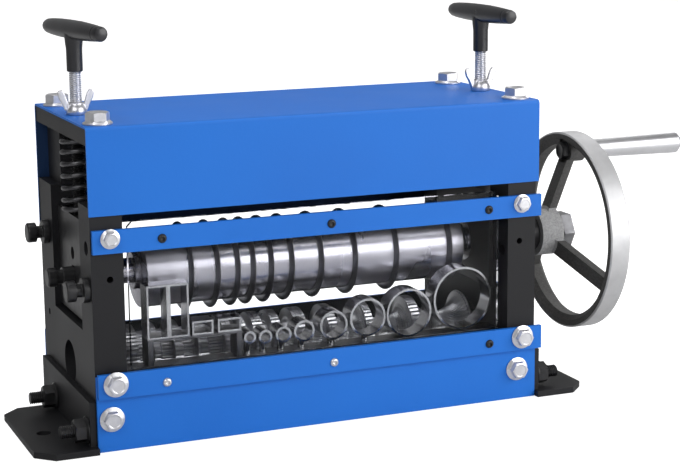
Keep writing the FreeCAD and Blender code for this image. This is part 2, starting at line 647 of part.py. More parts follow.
# Collar bolts: black, spool-shaped, screwed into the outside of the left legs.
spool = turned("collar_bolt_front", [
    ("-collar_depth", "0"), ("-collar_depth", "collar_shank"), ("0", "collar_shank"),
    ("0", "collar_head"), ("collar_neck", "collar_head"), ("collar_neck", "collar_neck"),
    ("2 * collar_neck", "collar_neck"), ("2 * collar_neck", "collar_end"),
    ("collar_long - shaft_edge", "collar_end"), ("collar_long", "collar_end - shaft_edge"),
    ("collar_long", "0"),
], "x")
nodes.remove(spool)
placed("leg_collar_bolts", spool, [
    ("-frame_width / 2", "plate_front + front_collar_set", "front_collar_height"),
    ("-frame_width / 2", "plate_rear - rear_collar_set", "rear_collar_height"),
], axis=(0, 0, 1), degrees=180)

# Feet: black angle steel with cut corners, bolted through the end plates.
foot = body("foot_left", x="-frame_width / 2")
pad(foot, outline(sketch(foot, "XY_Plane"), [
    ("0", "foot_front"), ("0", "foot_rear"), ("-foot_reach + foot_corner", "foot_rear"),
    ("-foot_reach", "foot_rear - foot_corner"), ("-foot_reach", "foot_front + foot_corner"),
    ("-foot_reach + foot_corner", "foot_front"),
]), "foot_thick")
pad(foot, outline(sketch(foot, "YZ_Plane"),
    rectangle("leaf_front", "0", "leaf_rear", "leaf_tall")), "foot_thick", reverse=True)
pocket(foot, circles(sketch(foot, "XY_Plane"),
    [("-foot_hole_out", "foot_hole_depth", "foot_hole")]), reverse=True)
pocket(foot, circles(sketch(foot, "YZ_Plane"), [
    ("foot_bolt_front", "foot_bolt_height", "stud_diameter + 2 * screw_play"),
    ("foot_bolt_rear", "foot_bolt_height", "stud_diameter + 2 * screw_play"),
]))
mirrored(foot, "foot_right")
foot_bolt = bolt("FootBolt", "foot_flange", "bolt_flange_rise", "hexagon_big", "foot_head",
                 "stud_diameter", "foot_shank")
foot_stud = doc.addObject("Part::Cylinder", "FootStud")
tie(foot_stud, Radius="stud_diameter / 2", Height="foot_stud")
long_bolt = doc.addObject("Part::MultiFuse", "FootBoltLong")
long_bolt.Shapes = [foot_bolt, foot_stud]
placed("foot_bolts_left", long_bolt, [
    ("-frame_width / 2 - foot_thick", "foot_bolt_front", "foot_bolt_height"),
    ("-frame_width / 2 - foot_thick", "foot_bolt_rear", "foot_bolt_height"),
], axis=(0, 1, 0), degrees=-90)
placed("foot_bolts_right", long_bolt, [
    ("frame_width / 2 + foot_thick", "foot_bolt_front", "foot_bolt_height"),
    ("frame_width / 2 + foot_thick", "foot_bolt_rear", "foot_bolt_height"),
], axis=(0, 1, 0), degrees=90)

# Guide rail and guides: polished tubes on posts in front of the feed roller.
rail = body("guide_rail", x="-plate_inner", z="rail_top - rail_tall")
pad(rail, outline(sketch(rail, "XY_Plane"), rectangle(
    "0", "guide_mouth", "2 * plate_inner", "guide_mouth + guide_length")),
    "rail_tall")
for index, (place, rise, outer) in enumerate(TUBES, 1):
    height = f"feed_height + {rise}"
    skin = doc.addObject("Part::Cylinder", "TubeSkin")
    tie(skin, Radius=f"{outer} / 2", Height="guide_length")
    put(skin, place, "guide_mouth", height, (1, 0, 0), -90)
    post = doc.addObject("Part::Cylinder", "TubePost")
    tie(post, Radius="post_diameter / 2", Height=f"{height} - rail_top")
    put(post, place, "guide_mouth + guide_length / 2", "rail_top")
    bore = doc.addObject("Part::Cylinder", "TubeBore")
    tie(bore, Radius=f"{outer} / 2 - guide_wall", Height="guide_length + 2")
    put(bore, place, "guide_mouth - 1", height, (1, 0, 0), -90)
    solid = doc.addObject("Part::MultiFuse", "TubeSolid")
    solid.Shapes = [skin, post]
    tube = doc.addObject("Part::Cut", f"guide_tube_{index}")
    tube.Base = solid
    tube.Tool = bore
    node(tube, f"guide_tube_{index}")

shelf = body("guide_shelf", y="guide_mouth + guide_length")
pad(shelf, outline(sketch(shelf, "XZ_Plane"), [
    ("shelf_left", "rail_top"), ("shelf_left + shelf_leg", "rail_top"),
    ("shelf_left + shelf_leg", "shelf_top - shelf_thick"),
    ("shelf_right - shelf_leg", "shelf_top - shelf_thick"),
    ("shelf_right - shelf_leg", "rail_top"), ("shelf_right", "rail_top"),
    ("shelf_right", "shelf_top"), ("shelf_left", "shelf_top"),
]), "guide_length")
for label, guides, high in [
    ("tall_guide_pair", TALLS, "tall_guide_high"),
    ("low_guide_1", FLATS[:1], "low_guide_high"),
    ("low_guide_2", FLATS[1:], "low_guide_high"),
]:
    frame_guide = body(label, y="guide_mouth + guide_length")
    first, last = guides[0], guides[-1]
    pad(frame_guide, outline(sketch(frame_guide, "XZ_Plane"), rectangle(
        f"{first[0]} - {first[1]} / 2", "shelf_top", f"{last[0]} + {last[1]} / 2", high)),
        "guide_length")
    windows = sketch(frame_guide, "XZ_Plane")
    for place, wide in guides:
        outline(windows, rectangle(
            f"{place} - {wide} / 2 + guide_wall", "shelf_top + guide_wall",
            f"{place} + {wide} / 2 - guide_wall", f"{high} - guide_wall"))
    pocket(frame_guide, windows, reverse=True)

# Ball bearings, shielded.
bearing_section = ring("0", "bearing_wide", "bearing_bore / 2", "bearing_outer / 2")
lower_left = turned("lower_bearing_left", bearing_section, "x",
    x="-plate_inner - bearing_set - bearing_wide", y="mid_depth", z="feed_height")
mirrored(lower_left, "lower_bearing_right")
upper_left = turned("upper_bearing_left", bearing_section, "x",
    x="-block_inner - bearing_wide", y="mid_depth", z="cut_height")
mirrored(upper_left, "upper_bearing_right")

# Feed roller: ridges with one round-bottomed groove under every guide tube.
journal_end = "plate_inner + bearing_set + bearing_wide"
roller = turned("feed_roller", [
    (f"-({journal_end})", "0"), (f"-({journal_end})", "journal_diameter / 2"),
    ("-roller_half", "journal_diameter / 2"), ("-roller_half", "roller_radius - roller_edge"),
    ("-roller_half + roller_edge", "roller_radius"), ("roller_half - roller_edge", "roller_radius"),
    ("roller_half", "roller_radius - roller_edge"), ("roller_half", "journal_diameter / 2"),
    (journal_end, "journal_diameter / 2"), (journal_end, "0"),
], "x", y="mid_depth", z="feed_height")
for place, wide in FLATS + TALLS:
    revolve(roller, outline(sketch(roller, "XY_Plane"), rectangle(
        f"{place} - ({wide} - flat_groove_short) / 2", "roller_radius - flat_groove",
        f"{place} + ({wide} - flat_groove_short) / 2", "roller_radius + 1")), "H_Axis", cut=True)
for place, rise, outer in TUBES:
    drawing = sketch(roller, "XY_Plane")
    radius = f"({outer} / 2 - guide_wall - groove_margin)"
    level = f"({rise})"
    reach = value(radius)
    middle = FreeCAD.Vector(value(place), value(level), 0)
    top = max(value("roller_radius + 1"), middle.y + 1)
    left = middle - FreeCAD.Vector(reach, 0, 0)
    right = middle + FreeCAD.Vector(reach, 0, 0)
    left_top = FreeCAD.Vector(left.x, top, 0)
    right_top = FreeCAD.Vector(right.x, top, 0)
    bottom = middle - FreeCAD.Vector(0, reach, 0)
    drawing.addGeometry(Part.Arc(left, bottom, right), False)
    drawing.addGeometry(Part.LineSegment(right, right_top), False)
    drawing.addGeometry(Part.LineSegment(right_top, left_top), False)
    drawing.addGeometry(Part.LineSegment(left_top, left), False)
    rules = [("Coincident", 0, 2, 1, 1), ("Coincident", 1, 2, 2, 1), ("Coincident", 2, 2, 3, 1),
             ("Coincident", 3, 2, 0, 1), ("Vertical", 1), ("Vertical", 3), ("Horizontal", 2)]
    for rule in rules:
        drawing.addConstraint(Sketcher.Constraint(*rule))
    for rule, text in (
        (("DistanceX", -1, 1, 0, 3, middle.x), place),
        (("DistanceY", -1, 1, 0, 3, middle.y), level),
        (("Radius", 0, reach), radius),
        (("DistanceY", -1, 1, 0, 1, middle.y), level),
        (("DistanceY", -1, 1, 0, 2, middle.y), level),
        (("DistanceY", -1, 1, 1, 2, top), f"max(roller_radius + 1; {level} + 1)"),
    ):
        spot = drawing.addConstraint(Sketcher.Constraint(*rule))
        drawing.setExpression(f"Constraints[{spot}]", bound(text).replace("Size.max", "max"))
    revolve(roller, drawing, "H_Axis", cut=True)

# Bearing blocks: slide in the slots, lip inside, bored for bearing and screw.
block = body("bearing_block_left", x="-block_outer", y="mid_depth")
pad(block, outline(sketch(block, "YZ_Plane"),
    rectangle("-block_width / 2", "block_low", "block_width / 2", "block_high")),
    "block_outer - block_inner")
pad(block, outline(sketch(block, "YZ_Plane", "block_outer - block_lip"), rectangle(
    "-block_width / 2 - lip_reach", "block_low", "block_width / 2 + lip_reach", "block_high")),
    "lip_thick")
pocket(block, circles(sketch(block, "YZ_Plane"), [("0", "cut_height", "bearing_bore + 1")]),
       reverse=True)
pocket(block, circles(sketch(block, "YZ_Plane", "block_outer - block_inner"),
    [("0", "cut_height", "bearing_outer")]), "bearing_wide")
pocket(block, circles(sketch(block, "YZ_Plane"), [("0", "screw_low + feed_hole / 2", "feed_screw")]),
       "block_outer - column_offset", reverse=True)
pocket(block, circles(sketch(block, "XY_Plane", "block_high"),
    [("block_outer - column_offset", "0", "feed_hole")]), "block_high - screw_low + 1")
mirrored(block, "bearing_block_right")

# Blade shaft, sleeves and blades.
half_span = "block_inner - shaft_play"
nut_end = "hub_right + washer_thick + nut_thick"
groove_left = "ring_groove_set - shaft_left"
groove_right = "ring_groove_set + ring_groove_wide - shaft_left"
stack_stop = "stack_left - stack_flange"
shaft = turned("blade_shaft", [
    ("-shaft_left", "0"), ("-shaft_left", "journal_diameter / 2 - shaft_edge"),
    ("shaft_edge - shaft_left", "journal_diameter / 2"), (groove_left, "journal_diameter / 2"),
    (groove_left, "journal_diameter / 2 - ring_groove"),
    (groove_right, "journal_diameter / 2 - ring_groove"), (groove_right, "journal_diameter / 2"),
    (f"-({half_span})", "journal_diameter / 2"), (f"-({half_span})", "shaft_diameter / 2"),
    (stack_stop, "shaft_diameter / 2"), (stack_stop, "shaft_diameter / 2 + stack_flange"),
    ("stack_left", "shaft_diameter / 2 + stack_flange"), ("stack_left", "shaft_diameter / 2"),
    (half_span, "shaft_diameter / 2"), (half_span, "journal_diameter / 2"),
    (nut_end, "journal_diameter / 2"), (f"{nut_end} + shaft_tip", "journal_diameter / 2 - shaft_tip"),
    (f"{nut_end} + shaft_tip", "0"),
], "x", y="mid_depth", z="cut_height")
sleeve_bore = "shaft_diameter / 2 + fit_gap"
half_blade = "blade_thick / 2"
blade_parts = []
sleeve_parts = []
edges = ["stack_left"] + BLADES + ["stack_right"]
for index, place in enumerate(BLADES):
    blade = turned("Blade", [
        (f"{place} - {half_blade}", sleeve_bore),
        (f"{place} - {half_blade}", "blade_radius - blade_bevel"),
        (f"{place} - edge_width / 2", "blade_radius"), (f"{place} + edge_width / 2", "blade_radius"),
        (f"{place} + {half_blade}", "blade_radius - blade_bevel"),
        (f"{place} + {half_blade}", sleeve_bore),
    ], "x", y="mid_depth", z="cut_height")
    nodes.remove(blade)
    blade_parts.append(blade)
for index in range(len(edges) - 1):
    start = edges[index] + (f" + {half_blade}" if index else "")
    finish = edges[index + 1] + (f" - {half_blade}" if index < len(BLADES) else "")
    sleeve = turned("Sleeve", [
        (start, sleeve_bore), (finish, sleeve_bore), (finish, "spacer_radius"),
        (start, "spacer_radius"),
    ], "x", y="mid_depth", z="cut_height")
    nodes.remove(sleeve)
    sleeve_parts.append(sleeve)
for label, members in (("slitting_blades", blade_parts), ("spacer_sleeves", sleeve_parts)):
    group = doc.addObject("Part::Compound", label)
    group.Links = members
    node(group, label)

nut = body("stack_lock_nut", x="stack_right", y="mid_depth", z="cut_height")


def hexagon(flats):
    half = f"({flats}) / 2"
    corner = f"({flats}) * 0.57735"
    return [(f"-{corner}", "0"), (f"-{corner} / 2", f"-{half}"), (f"{corner} / 2", f"-{half}"),
            (corner, "0"), (f"{corner} / 2", half), (f"-{corner} / 2", half)]


pad(nut, outline(sketch(nut, "YZ_Plane"), hexagon("lock_nut_flats")), "lock_nut_thick")
pocket(nut, circles(sketch(nut, "YZ_Plane"), [("0", "0", f"2 * ({sleeve_bore})")]), reverse=True)
turned("drive_collar", ring("block_outer + collar_gap", "hub_left", "journal_diameter / 2 + fit_gap",
                            "collar_radius"), "x", y="mid_depth", z="cut_height")

# Handwheel: cast, flat polished rim, three dished spokes, crank boss on one.
wheel = turned("handwheel", [
    ("rim_left", "wheel_radius - rim_edge"), ("rim_left + rim_edge", "wheel_radius"),
    ("rim_right - rim_edge", "wheel_radius"), ("rim_right", "wheel_radius - rim_edge"),
    ("rim_right", "rim_inner + rim_slope"), ("rim_right - rim_slope", "rim_inner"),
    ("rim_left + rim_slope", "rim_inner"), ("rim_left", "rim_inner + rim_slope"),
], "x", y="mid_depth", z="cut_height")
spoke = pad(wheel, outline(sketch(wheel, "XZ_Plane", "-spoke_width / 2"), [
    ("spoke_root", "hub_diameter / 4"), ("spoke_root + spoke_thick", "hub_diameter / 4"),
    ("spoke_tip + spoke_thick", "rim_inner + rim_root"), ("spoke_tip", "rim_inner + rim_root"),
]), "spoke_width")
repeated(wheel, spoke, 3)
hub = sketch(wheel, "YZ_Plane", "hub_left")
pad(wheel, circles(hub, [("0", "0", "hub_diameter")]), "hub_right - hub_left")
boss = sketch(wheel, "YZ_Plane", "boss_left")
pad(wheel, circles(boss, [("0", "crank_radius", "boss_diameter")]), "rim_right - boss_left")
spot = sketch(wheel, "YZ_Plane", "boss_left")
pocket(wheel, circles(spot, [("0", "crank_radius", "boss_diameter + 2 * screw_play")]),
       "boss_left - hub_left")
pocket(wheel, circles(sketch(wheel, "YZ_Plane"), [
    ("0", "0", "journal_diameter + 2 * fit_gap"),
    ("0", "crank_radius", "pin_diameter + 2 * fit_gap"),
]), reverse=True)
wheel_nut = body("handwheel_nut", x="hub_right", y="mid_depth", z="cut_height")
pad(wheel_nut, circles(sketch(wheel_nut, "YZ_Plane"), [("0", "0", "washer_diameter")]),
    "washer_thick")
pad(wheel_nut, outline(sketch(wheel_nut, "YZ_Plane", "washer_thick"), hexagon("lock_nut_flats")),
    "nut_thick")
pocket(wheel_nut, circles(sketch(wheel_nut, "YZ_Plane"),
    [("0", "0", "journal_diameter + 2 * fit_gap")]), reverse=True)
pin_height = "cut_height + crank_radius"
pin = body("crank_pin", y="mid_depth", z=pin_height)
pad(pin, circles(sketch(pin, "YZ_Plane", "boss_left - pin_head"), [("0", "0", "pin_diameter")]),
    "crank_right - crank_bore_end - pin_gap - boss_left + pin_head")
pad(pin, outline(sketch(pin, "YZ_Plane", "boss_left - pin_head"), hexagon("hexagon_big")),
    "pin_head")
grip_bore = "pin_diameter / 2 + pin_play"
bore_end = "crank_right - crank_bore_end"
turned("crank_grip", [
    ("crank_left", grip_bore), ("crank_left", "crank_root"),
    ("crank_left + crank_edge", "crank_neck"), ("crank_right - crank_cone", "crank_wide"),
    ("crank_right", "crank_tip"), ("crank_right", "0"), (bore_end, "0"), (bore_end, grip_bore),
], "x", y="mid_depth", z=pin_height)

# Springs, feed screws, grips and wing nuts, one set per side.
WING = [("0", "wing_foot"), ("wing_hub / 2 - wing_foot", "wing_foot"),
        ("wing_hub / 2 + wing_reach", "wing_hub_tall + 2 * wing_foot"),
        ("wing_hub / 2 + wing_reach", "wing_tall - 2 * wing_foot"),
        ("wing_hub / 2 + wing_reach - wing_foot", "wing_tall"),
        ("wing_hub / 2 + 2 * wing_foot", "wing_tall - wing_foot"),
        ("wing_hub / 2 - wing_foot", "wing_hub_tall + wing_foot"), ("0", "wing_hub_tall")]
screw_end = "grip_height - sleeve_blind"
for side, sign, turn in (("left", "-", value("left_grip_turn")), ("right", "", 0)):
    column = dict(x=f"{sign}column_offset", y="mid_depth")
    spine = doc.addObject("Part::Helix", "SpringSpine")
    free = "plate_top - block_high - spring_wire"
    tie(spine, Pitch=f"({free}) / spring_turns", Height=free,
        Radius="(spring_outer - spring_wire) / 2")
    section = doc.addObject("Part::RegularPolygon", "SpringSection")
    section.Polygon = 6
    tie(section, Circumradius="spring_wire / 2")
    put(section, x="(spring_outer - spring_wire) / 2", axis=(1, 0, 0), degrees=90)
    spring = doc.addObject("Part::Sweep", f"spring_{side}")
    spring.Sections = [section]
    spring.Spine = (spine, [])
    spring.Solid = True
    spring.Frenet = True
    put(spring, z="block_high + spring_wire / 2", **column)
    node(spring, f"spring_{side}")
    turned(f"feed_screw_{side}", [
        ("screw_low", "0"), ("screw_low", "feed_screw / 2 - screw_tip"),
        ("screw_low + screw_tip", "feed_screw / 2"), (screw_end, "feed_screw / 2"),
        (screw_end, "0"),
    ], "z", **column)
    grip = body(f"grip_{side}", z="grip_height", axis=(0, 0, 1), degrees=turn, **column)
    revolve(grip, outline(sketch(grip, "YZ_Plane"), [
        ("-grip_length / 2", "0"), ("-grip_length / 2", "grip_end / 2 - grip_round"),
        ("-grip_length / 2 + grip_round * 0.3", "grip_end / 2 - grip_round * 0.3"),
        ("-grip_length / 2 + grip_round", "grip_end / 2"),
        ("-grip_swell - grip_taper", "(grip_diameter + grip_end) / 4"),
        ("-grip_swell", "grip_diameter / 2"), ("grip_swell", "grip_diameter / 2"),
        ("grip_swell + grip_taper", "(grip_diameter + grip_end) / 4"),
        ("grip_length / 2 - grip_round", "grip_end / 2"),
        ("grip_length / 2 - grip_round * 0.3", "grip_end / 2 - grip_round * 0.3"),
        ("grip_length / 2", "grip_end / 2 - grip_round"), ("grip_length / 2", "0"),
    ]), "H_Axis")
    pad(grip, circles(sketch(grip, "XY_Plane"), [("0", "0", "grip_sleeve")]),
        "grip_height - grip_sleeve_low", reverse=True)
    pocket(grip, circles(sketch(grip, "XY_Plane", "grip_sleeve_low - grip_height"),
        [("0", "0", "feed_screw + 2 * fit_gap")]), f"{screw_end} - grip_sleeve_low", reverse=True)
    wing = body(f"wing_nut_{side}", z="cover_top", **column)
    for mirror in ("", "-"):
        pad(wing, outline(sketch(wing, "XZ_Plane", "-wing_thick / 2"),
            [(f"{mirror}({across})", up) for across, up in WING]), "wing_thick")
    pad(wing, circles(sketch(wing, "XY_Plane"), [("0", "0", "wing_hub")]), "wing_hub_tall")
    pocket(wing, circles(sketch(wing, "XY_Plane"), [("0", "0", "feed_hole")]), reverse=True)

doc.recompute()
for item in doc.Objects:
    if any(word in item.State for word in ("Invalid", "Error")):
        raise RuntimeError(f"{item.Name} ({item.Label}): {item.State}")
for item in nodes:
    if item.Shape.isNull() or not item.Shape.isValid() or not item.Shape.Solids:
        raise RuntimeError(f"{item.Label}: bad shape")
for item in nodes:
    item.Shape.exportStep(f"parts/{item.Label}.step")
print(len(nodes), "nodes")
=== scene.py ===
import math
import bpy
import bmesh
from mathutils import Matrix, Vector


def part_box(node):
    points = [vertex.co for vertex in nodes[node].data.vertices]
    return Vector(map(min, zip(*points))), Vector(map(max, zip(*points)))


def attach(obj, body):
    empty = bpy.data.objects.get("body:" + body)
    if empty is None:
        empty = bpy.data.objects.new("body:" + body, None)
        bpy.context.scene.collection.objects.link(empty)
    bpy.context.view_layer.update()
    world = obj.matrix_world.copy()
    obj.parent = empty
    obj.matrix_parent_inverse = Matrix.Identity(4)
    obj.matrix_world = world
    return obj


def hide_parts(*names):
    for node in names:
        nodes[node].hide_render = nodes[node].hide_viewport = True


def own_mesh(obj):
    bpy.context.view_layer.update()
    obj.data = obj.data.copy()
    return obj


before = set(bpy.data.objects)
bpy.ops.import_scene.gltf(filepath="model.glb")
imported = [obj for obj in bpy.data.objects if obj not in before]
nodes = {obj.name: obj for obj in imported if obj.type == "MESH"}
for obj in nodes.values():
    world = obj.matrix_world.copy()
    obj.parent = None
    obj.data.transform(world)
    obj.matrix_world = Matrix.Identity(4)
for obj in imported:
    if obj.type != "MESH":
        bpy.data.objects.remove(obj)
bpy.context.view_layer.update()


# Workbench, studio and camera: the stripper stands on a plain pale floor that
# runs up into a pale backdrop, lit by soft boxes.
def feed(tree, socket, value):
    """Links a socket to another one, or sets it to a plain value."""
    if isinstance(value, bpy.types.NodeSocket):
        tree.links.new(value, socket)
    else:
        socket.default_value = value


def joined(tree, kind, **settings):
    """Adds a node. Names with a capital set its sockets, the rest its properties."""
    node = tree.nodes.new(kind)
    for name, value in settings.items():
        if name[0].islower():
            setattr(node, name, value)
    for name, value in settings.items():
        if not name[0].islower():
            feed(tree, node.inputs[name.replace("_", " ")], value)
    return node


def softbox(name, place, target, wide, tall, watts, shade=(1, 1, 1)):
    lamp = bpy.data.lights.new(name, "AREA")
    lamp.shape = "RECTANGLE"
    lamp.size = wide
    lamp.size_y = tall
    lamp.energy = watts
    lamp.color = shade
    holder = bpy.data.objects.new(name, lamp)
    holder.location = place
    holder.rotation_euler = (Vector(target) - Vector(place)).to_track_quat("-Z", "Y").to_euler()
    bpy.context.scene.collection.objects.link(holder)


softbox("key_box", (-1.1, -1.2, 1.15), (0, 0, 0.1), 1.4, 1.1, 12)
softbox("fill_box", (1.0, -1.15, 0.62), (0.05, 0, 0.1), 1.5, 1.1, 23)
softbox("top_box", (0.0, 0.25, 1.6), (0, 0.02, 0.1), 1.3, 0.8, 13)
softbox("back_box", (1.5, 1.2, 0.95), (0, 0, 0.12), 1.0, 0.8, 7)

FLOOR_DEPTH, CURVE, CURVE_STEPS, PAPER_TOP, HALF_WIDTH, CLEARANCE = 1.6, 0.8, 12, 3.0, 4.0, 0.0004
floor_mesh = bpy.data.meshes.new("bench_floor")
sweep = [(-FLOOR_DEPTH, 0.0), (FLOOR_DEPTH, 0.0)]
for step in range(1, CURVE_STEPS + 1):
    turn = math.radians(90 * step / CURVE_STEPS)
    sweep.append((FLOOR_DEPTH + CURVE * math.sin(turn), CURVE - CURVE * math.cos(turn)))
sweep.append((FLOOR_DEPTH + CURVE, PAPER_TOP))
corners = [(side * HALF_WIDTH, y, z - CLEARANCE) for y, z in sweep for side in (-1, 1)]
strips = [(2 * i, 2 * i + 1, 2 * i + 3, 2 * i + 2) for i in range(len(sweep) - 1)]
floor_mesh.from_pydata(corners, [], strips)
floor_mesh.shade_smooth()
bench_floor = bpy.data.objects.new("bench_floor", floor_mesh)
bpy.context.scene.collection.objects.link(bench_floor)
paper = bpy.data.materials.new("backdrop_paper")
paper.use_nodes = True
sheet = paper.node_tree
sheet.nodes.clear()
matte = joined(sheet, "ShaderNodeBsdfDiffuse", Color=(0.7, 0.7, 0.7, 1))
glow = joined(sheet, "ShaderNodeEmission", Color=(1, 1, 1, 1), Strength=0.78)
path = joined(sheet, "ShaderNodeLightPath")
seen = joined(sheet, "ShaderNodeMath", operation="MAXIMUM")
sheet.links.new(path.outputs["Is Camera Ray"], seen.inputs[0])
sheet.links.new(path.outputs["Is Transmission Ray"], seen.inputs[1])
bounces = joined(sheet, "ShaderNodeMath", operation="ADD")
sheet.links.new(path.outputs["Diffuse Depth"], bounces.inputs[0])
sheet.links.new(path.outputs["Glossy Depth"], bounces.inputs[1])
HALF_A_BOUNCE = 0.5
direct = joined(sheet, "ShaderNodeMath", operation="LESS_THAN")
sheet.links.new(bounces.outputs[0], direct.inputs[0])
direct.inputs[1].default_value = HALF_A_BOUNCE
both_true = joined(sheet, "ShaderNodeMath", operation="MULTIPLY")
sheet.links.new(seen.outputs[0], both_true.inputs[0])
sheet.links.new(direct.outputs[0], both_true.inputs[1])
lifted = joined(sheet, "ShaderNodeMixShader", Fac=both_true.outputs[0])
both = joined(sheet, "ShaderNodeAddShader")
sheet.links.new(matte.outputs[0], both.inputs[0])
sheet.links.new(glow.outputs[0], both.inputs[1])
sheet.links.new(matte.outputs[0], lifted.inputs[1])
sheet.links.new(both.outputs[0], lifted.inputs[2])
joined(sheet, "ShaderNodeOutputMaterial", Surface=lifted.outputs[0])
floor_mesh.materials.append(paper)

world = bpy.data.worlds.new("studio")
bpy.context.scene.world = world
world.use_nodes = True
sky = world.node_tree
sky.nodes.clear()
path = joined(sky, "ShaderNodeLightPath")
room = joined(sky, "ShaderNodeBackground", Color=(1, 1, 1, 1), Strength=0.18)
white = joined(sky, "ShaderNodeBackground", Color=(1, 1, 1, 1), Strength=1.0)
choice = joined(sky, "ShaderNodeMixShader", Fac=path.outputs["Is Camera Ray"])
sky.links.new(room.outputs[0], choice.inputs[1])
sky.links.new(white.outputs[0], choice.inputs[2])
joined(sky, "ShaderNodeOutputWorld", Surface=choice.outputs[0])

lens = bpy.data.cameras.new("camera")
lens.lens = 94.161
lens.sensor_width = 36
lens.clip_end = 50
camera = bpy.data.objects.new("camera", lens)
camera.matrix_world = Matrix((
    (0.92389, 0.08258, -0.37363, -0.40438),
    (-0.38253, 0.17478, -0.90726, -1.04719),
    (-0.00962, 0.98114, 0.19307, 0.33722),
    (0.0, 0.0, 0.0, 1.0),
))
bpy.context.scene.collection.objects.link(camera)
bpy.context.scene.camera = camera
bpy.context.scene.view_settings.view_transform = "Standard"


# End plates, legs and bridge plates: sawn and milled 20 mm steel, sprayed satin
# black. The bridge plates are welded across the leg tops.
def group(name, takes, gives):
    """Starts a shader node group with named inputs and outputs."""
    tree = bpy.data.node_groups.new(name, "ShaderNodeTree")
    for label, kind, value in takes:
        entry = tree.interface.new_socket(label, in_out="INPUT", socket_type="NodeSocket" + kind)
        entry.default_value = value
    for label, kind in gives:
        tree.interface.new_socket(label, in_out="OUTPUT", socket_type="NodeSocket" + kind)
    return tree, tree.nodes.new("NodeGroupInput"), tree.nodes.new("NodeGroupOutput")


def noise(tree, where, scale, detail=3.0, roughness=0.55):
    made = joined(tree, "ShaderNodeTexNoise", Scale=scale, Detail=detail, Roughness=roughness)
    tree.links.new(where, made.inputs["Vector"])
    return made.outputs["Fac"]


def ramp(tree, value, low, high, bottom=0.0, top=1.0):
    made = joined(tree, "ShaderNodeMapRange")
    tree.links.new(value, made.inputs["Value"])
    for label, given in (("From Min", low), ("From Max", high), ("To Min", bottom), ("To Max", top)):
        feed(tree, made.inputs[label], given)
    return made.outputs["Result"]


def math_node(tree, operation, *values):
    made = tree.nodes.new("ShaderNodeMath")
    made.operation = operation
    for socket, value in zip(made.inputs, values):
        feed(tree, socket, value)
    return made.outputs[0]


COLOUR_A, COLOUR_B, COLOUR_MIXED = 6, 7, 2


def tint(tree, factor, first, second):
    """Mixes two colours. The Mix node's colour sockets are known by number."""
    made = tree.nodes.new("ShaderNodeMix")
    made.data_type = "RGBA"
    for number, value in ((0, factor), (COLOUR_A, first), (COLOUR_B, second)):
        feed(tree, made.inputs[number], value)
    return made.outputs[COLOUR_MIXED]


def material(name, effect, gives, takes, **shader):
    """A Principled material fed by one effect group. gives maps its outputs."""
    made = bpy.data.materials.new(name)
    made.use_nodes = True
    tree = made.node_tree
    tree.nodes.clear()
    where = joined(tree, "ShaderNodeTexCoord")
    look = tree.nodes.new("ShaderNodeGroup")
    look.node_tree = effect
    tree.links.new(where.outputs["Object"], look.inputs["Place"])
    for label, value in takes.items():
        look.inputs[label].default_value = value
    skin = joined(tree, "ShaderNodeBsdfPrincipled", **shader)
    for output, socket in gives.items():
        if socket == "Bump":
            bump = joined(tree, "ShaderNodeBump", Strength=1.0, Distance=0.001)
            tree.links.new(look.outputs[output], bump.inputs["Height"])
            tree.links.new(bump.outputs["Normal"], skin.inputs["Normal"])
        else:
            tree.links.new(look.outputs[output], skin.inputs[socket])
    joined(tree, "ShaderNodeOutputMaterial", Surface=skin.outputs[0])
    return made


SURFACE = {"Colour": "Base Color", "Roughness": "Roughness", "Height": "Bump"}
OUTS = [("Colour", "Color"), ("Roughness", "Float"), ("Height", "Float")]

coating, coat_in, coat_out = group("sprayed_coat", [
    ("Place", "Vector", (0, 0, 0)), ("Paint", "Color", (0.5, 0.5, 0.5, 1)),
    ("Fade", "Color", (0.6, 0.6, 0.6, 1)), ("Peel", "Float", 0.02), ("Gloss", "Float", 0.35),
], OUTS)
place = coat_in.outputs["Place"]
cloud = noise(coating, place, 9.0, 2.0)
grit = noise(coating, place, 900.0, 2.0)
peel = noise(coating, place, 420.0, 3.0)
faded = tint(coating, ramp(coating, cloud, 0.3, 0.7), coat_in.outputs["Paint"],
             coat_in.outputs["Fade"])
speck = ramp(coating, grit, 0.62, 0.75, 0.0, 0.12)
coating.links.new(tint(coating, speck, faded, coat_in.outputs["Fade"]), coat_out.inputs["Colour"])
coating.links.new(math_node(coating, "ADD", coat_in.outputs["Gloss"],
                            ramp(coating, cloud, 0.3, 0.7, -0.05, 0.06)),
                  coat_out.inputs["Roughness"])
coating.links.new(math_node(coating, "MULTIPLY", peel, coat_in.outputs["Peel"]),
                  coat_out.inputs["Height"])

satin_black = material("satin_black", coating, SURFACE, {
    "Paint": (0.006, 0.006, 0.0075, 1), "Fade": (0.011, 0.011, 0.013, 1), "Peel": 0.03,
    "Gloss": 0.5,
}, Specular_IOR_Level=0.28)


def dress(finish, *names, edge=0.0004):
    """Gives CAD nodes their finish and a small broken edge that catches light."""
    for name in names:
        item = nodes[name]
        item.data.materials.clear()
        item.data.materials.append(finish)
        weld = item.modifiers.new("weld", "WELD")
        weld.merge_threshold = 0.00001
        flat = item.modifiers.new("flat", "DECIMATE")
        flat.decimate_type = "DISSOLVE"
        flat.angle_limit = math.radians(1)
        if edge:
            chamfer = item.modifiers.new("edge", "BEVEL")
            chamfer.width = edge
            chamfer.segments = 2
            chamfer.limit_method = "ANGLE"
            chamfer.angle_limit = math.radians(40)
        smooth = item.modifiers.new("smooth", "WEIGHTED_NORMAL")
        smooth.weight = 100


dress(satin_black, "end_plate_left", "end_plate_right", "bridge_plate_left", "bridge_plate_right",
      edge=0.0006)


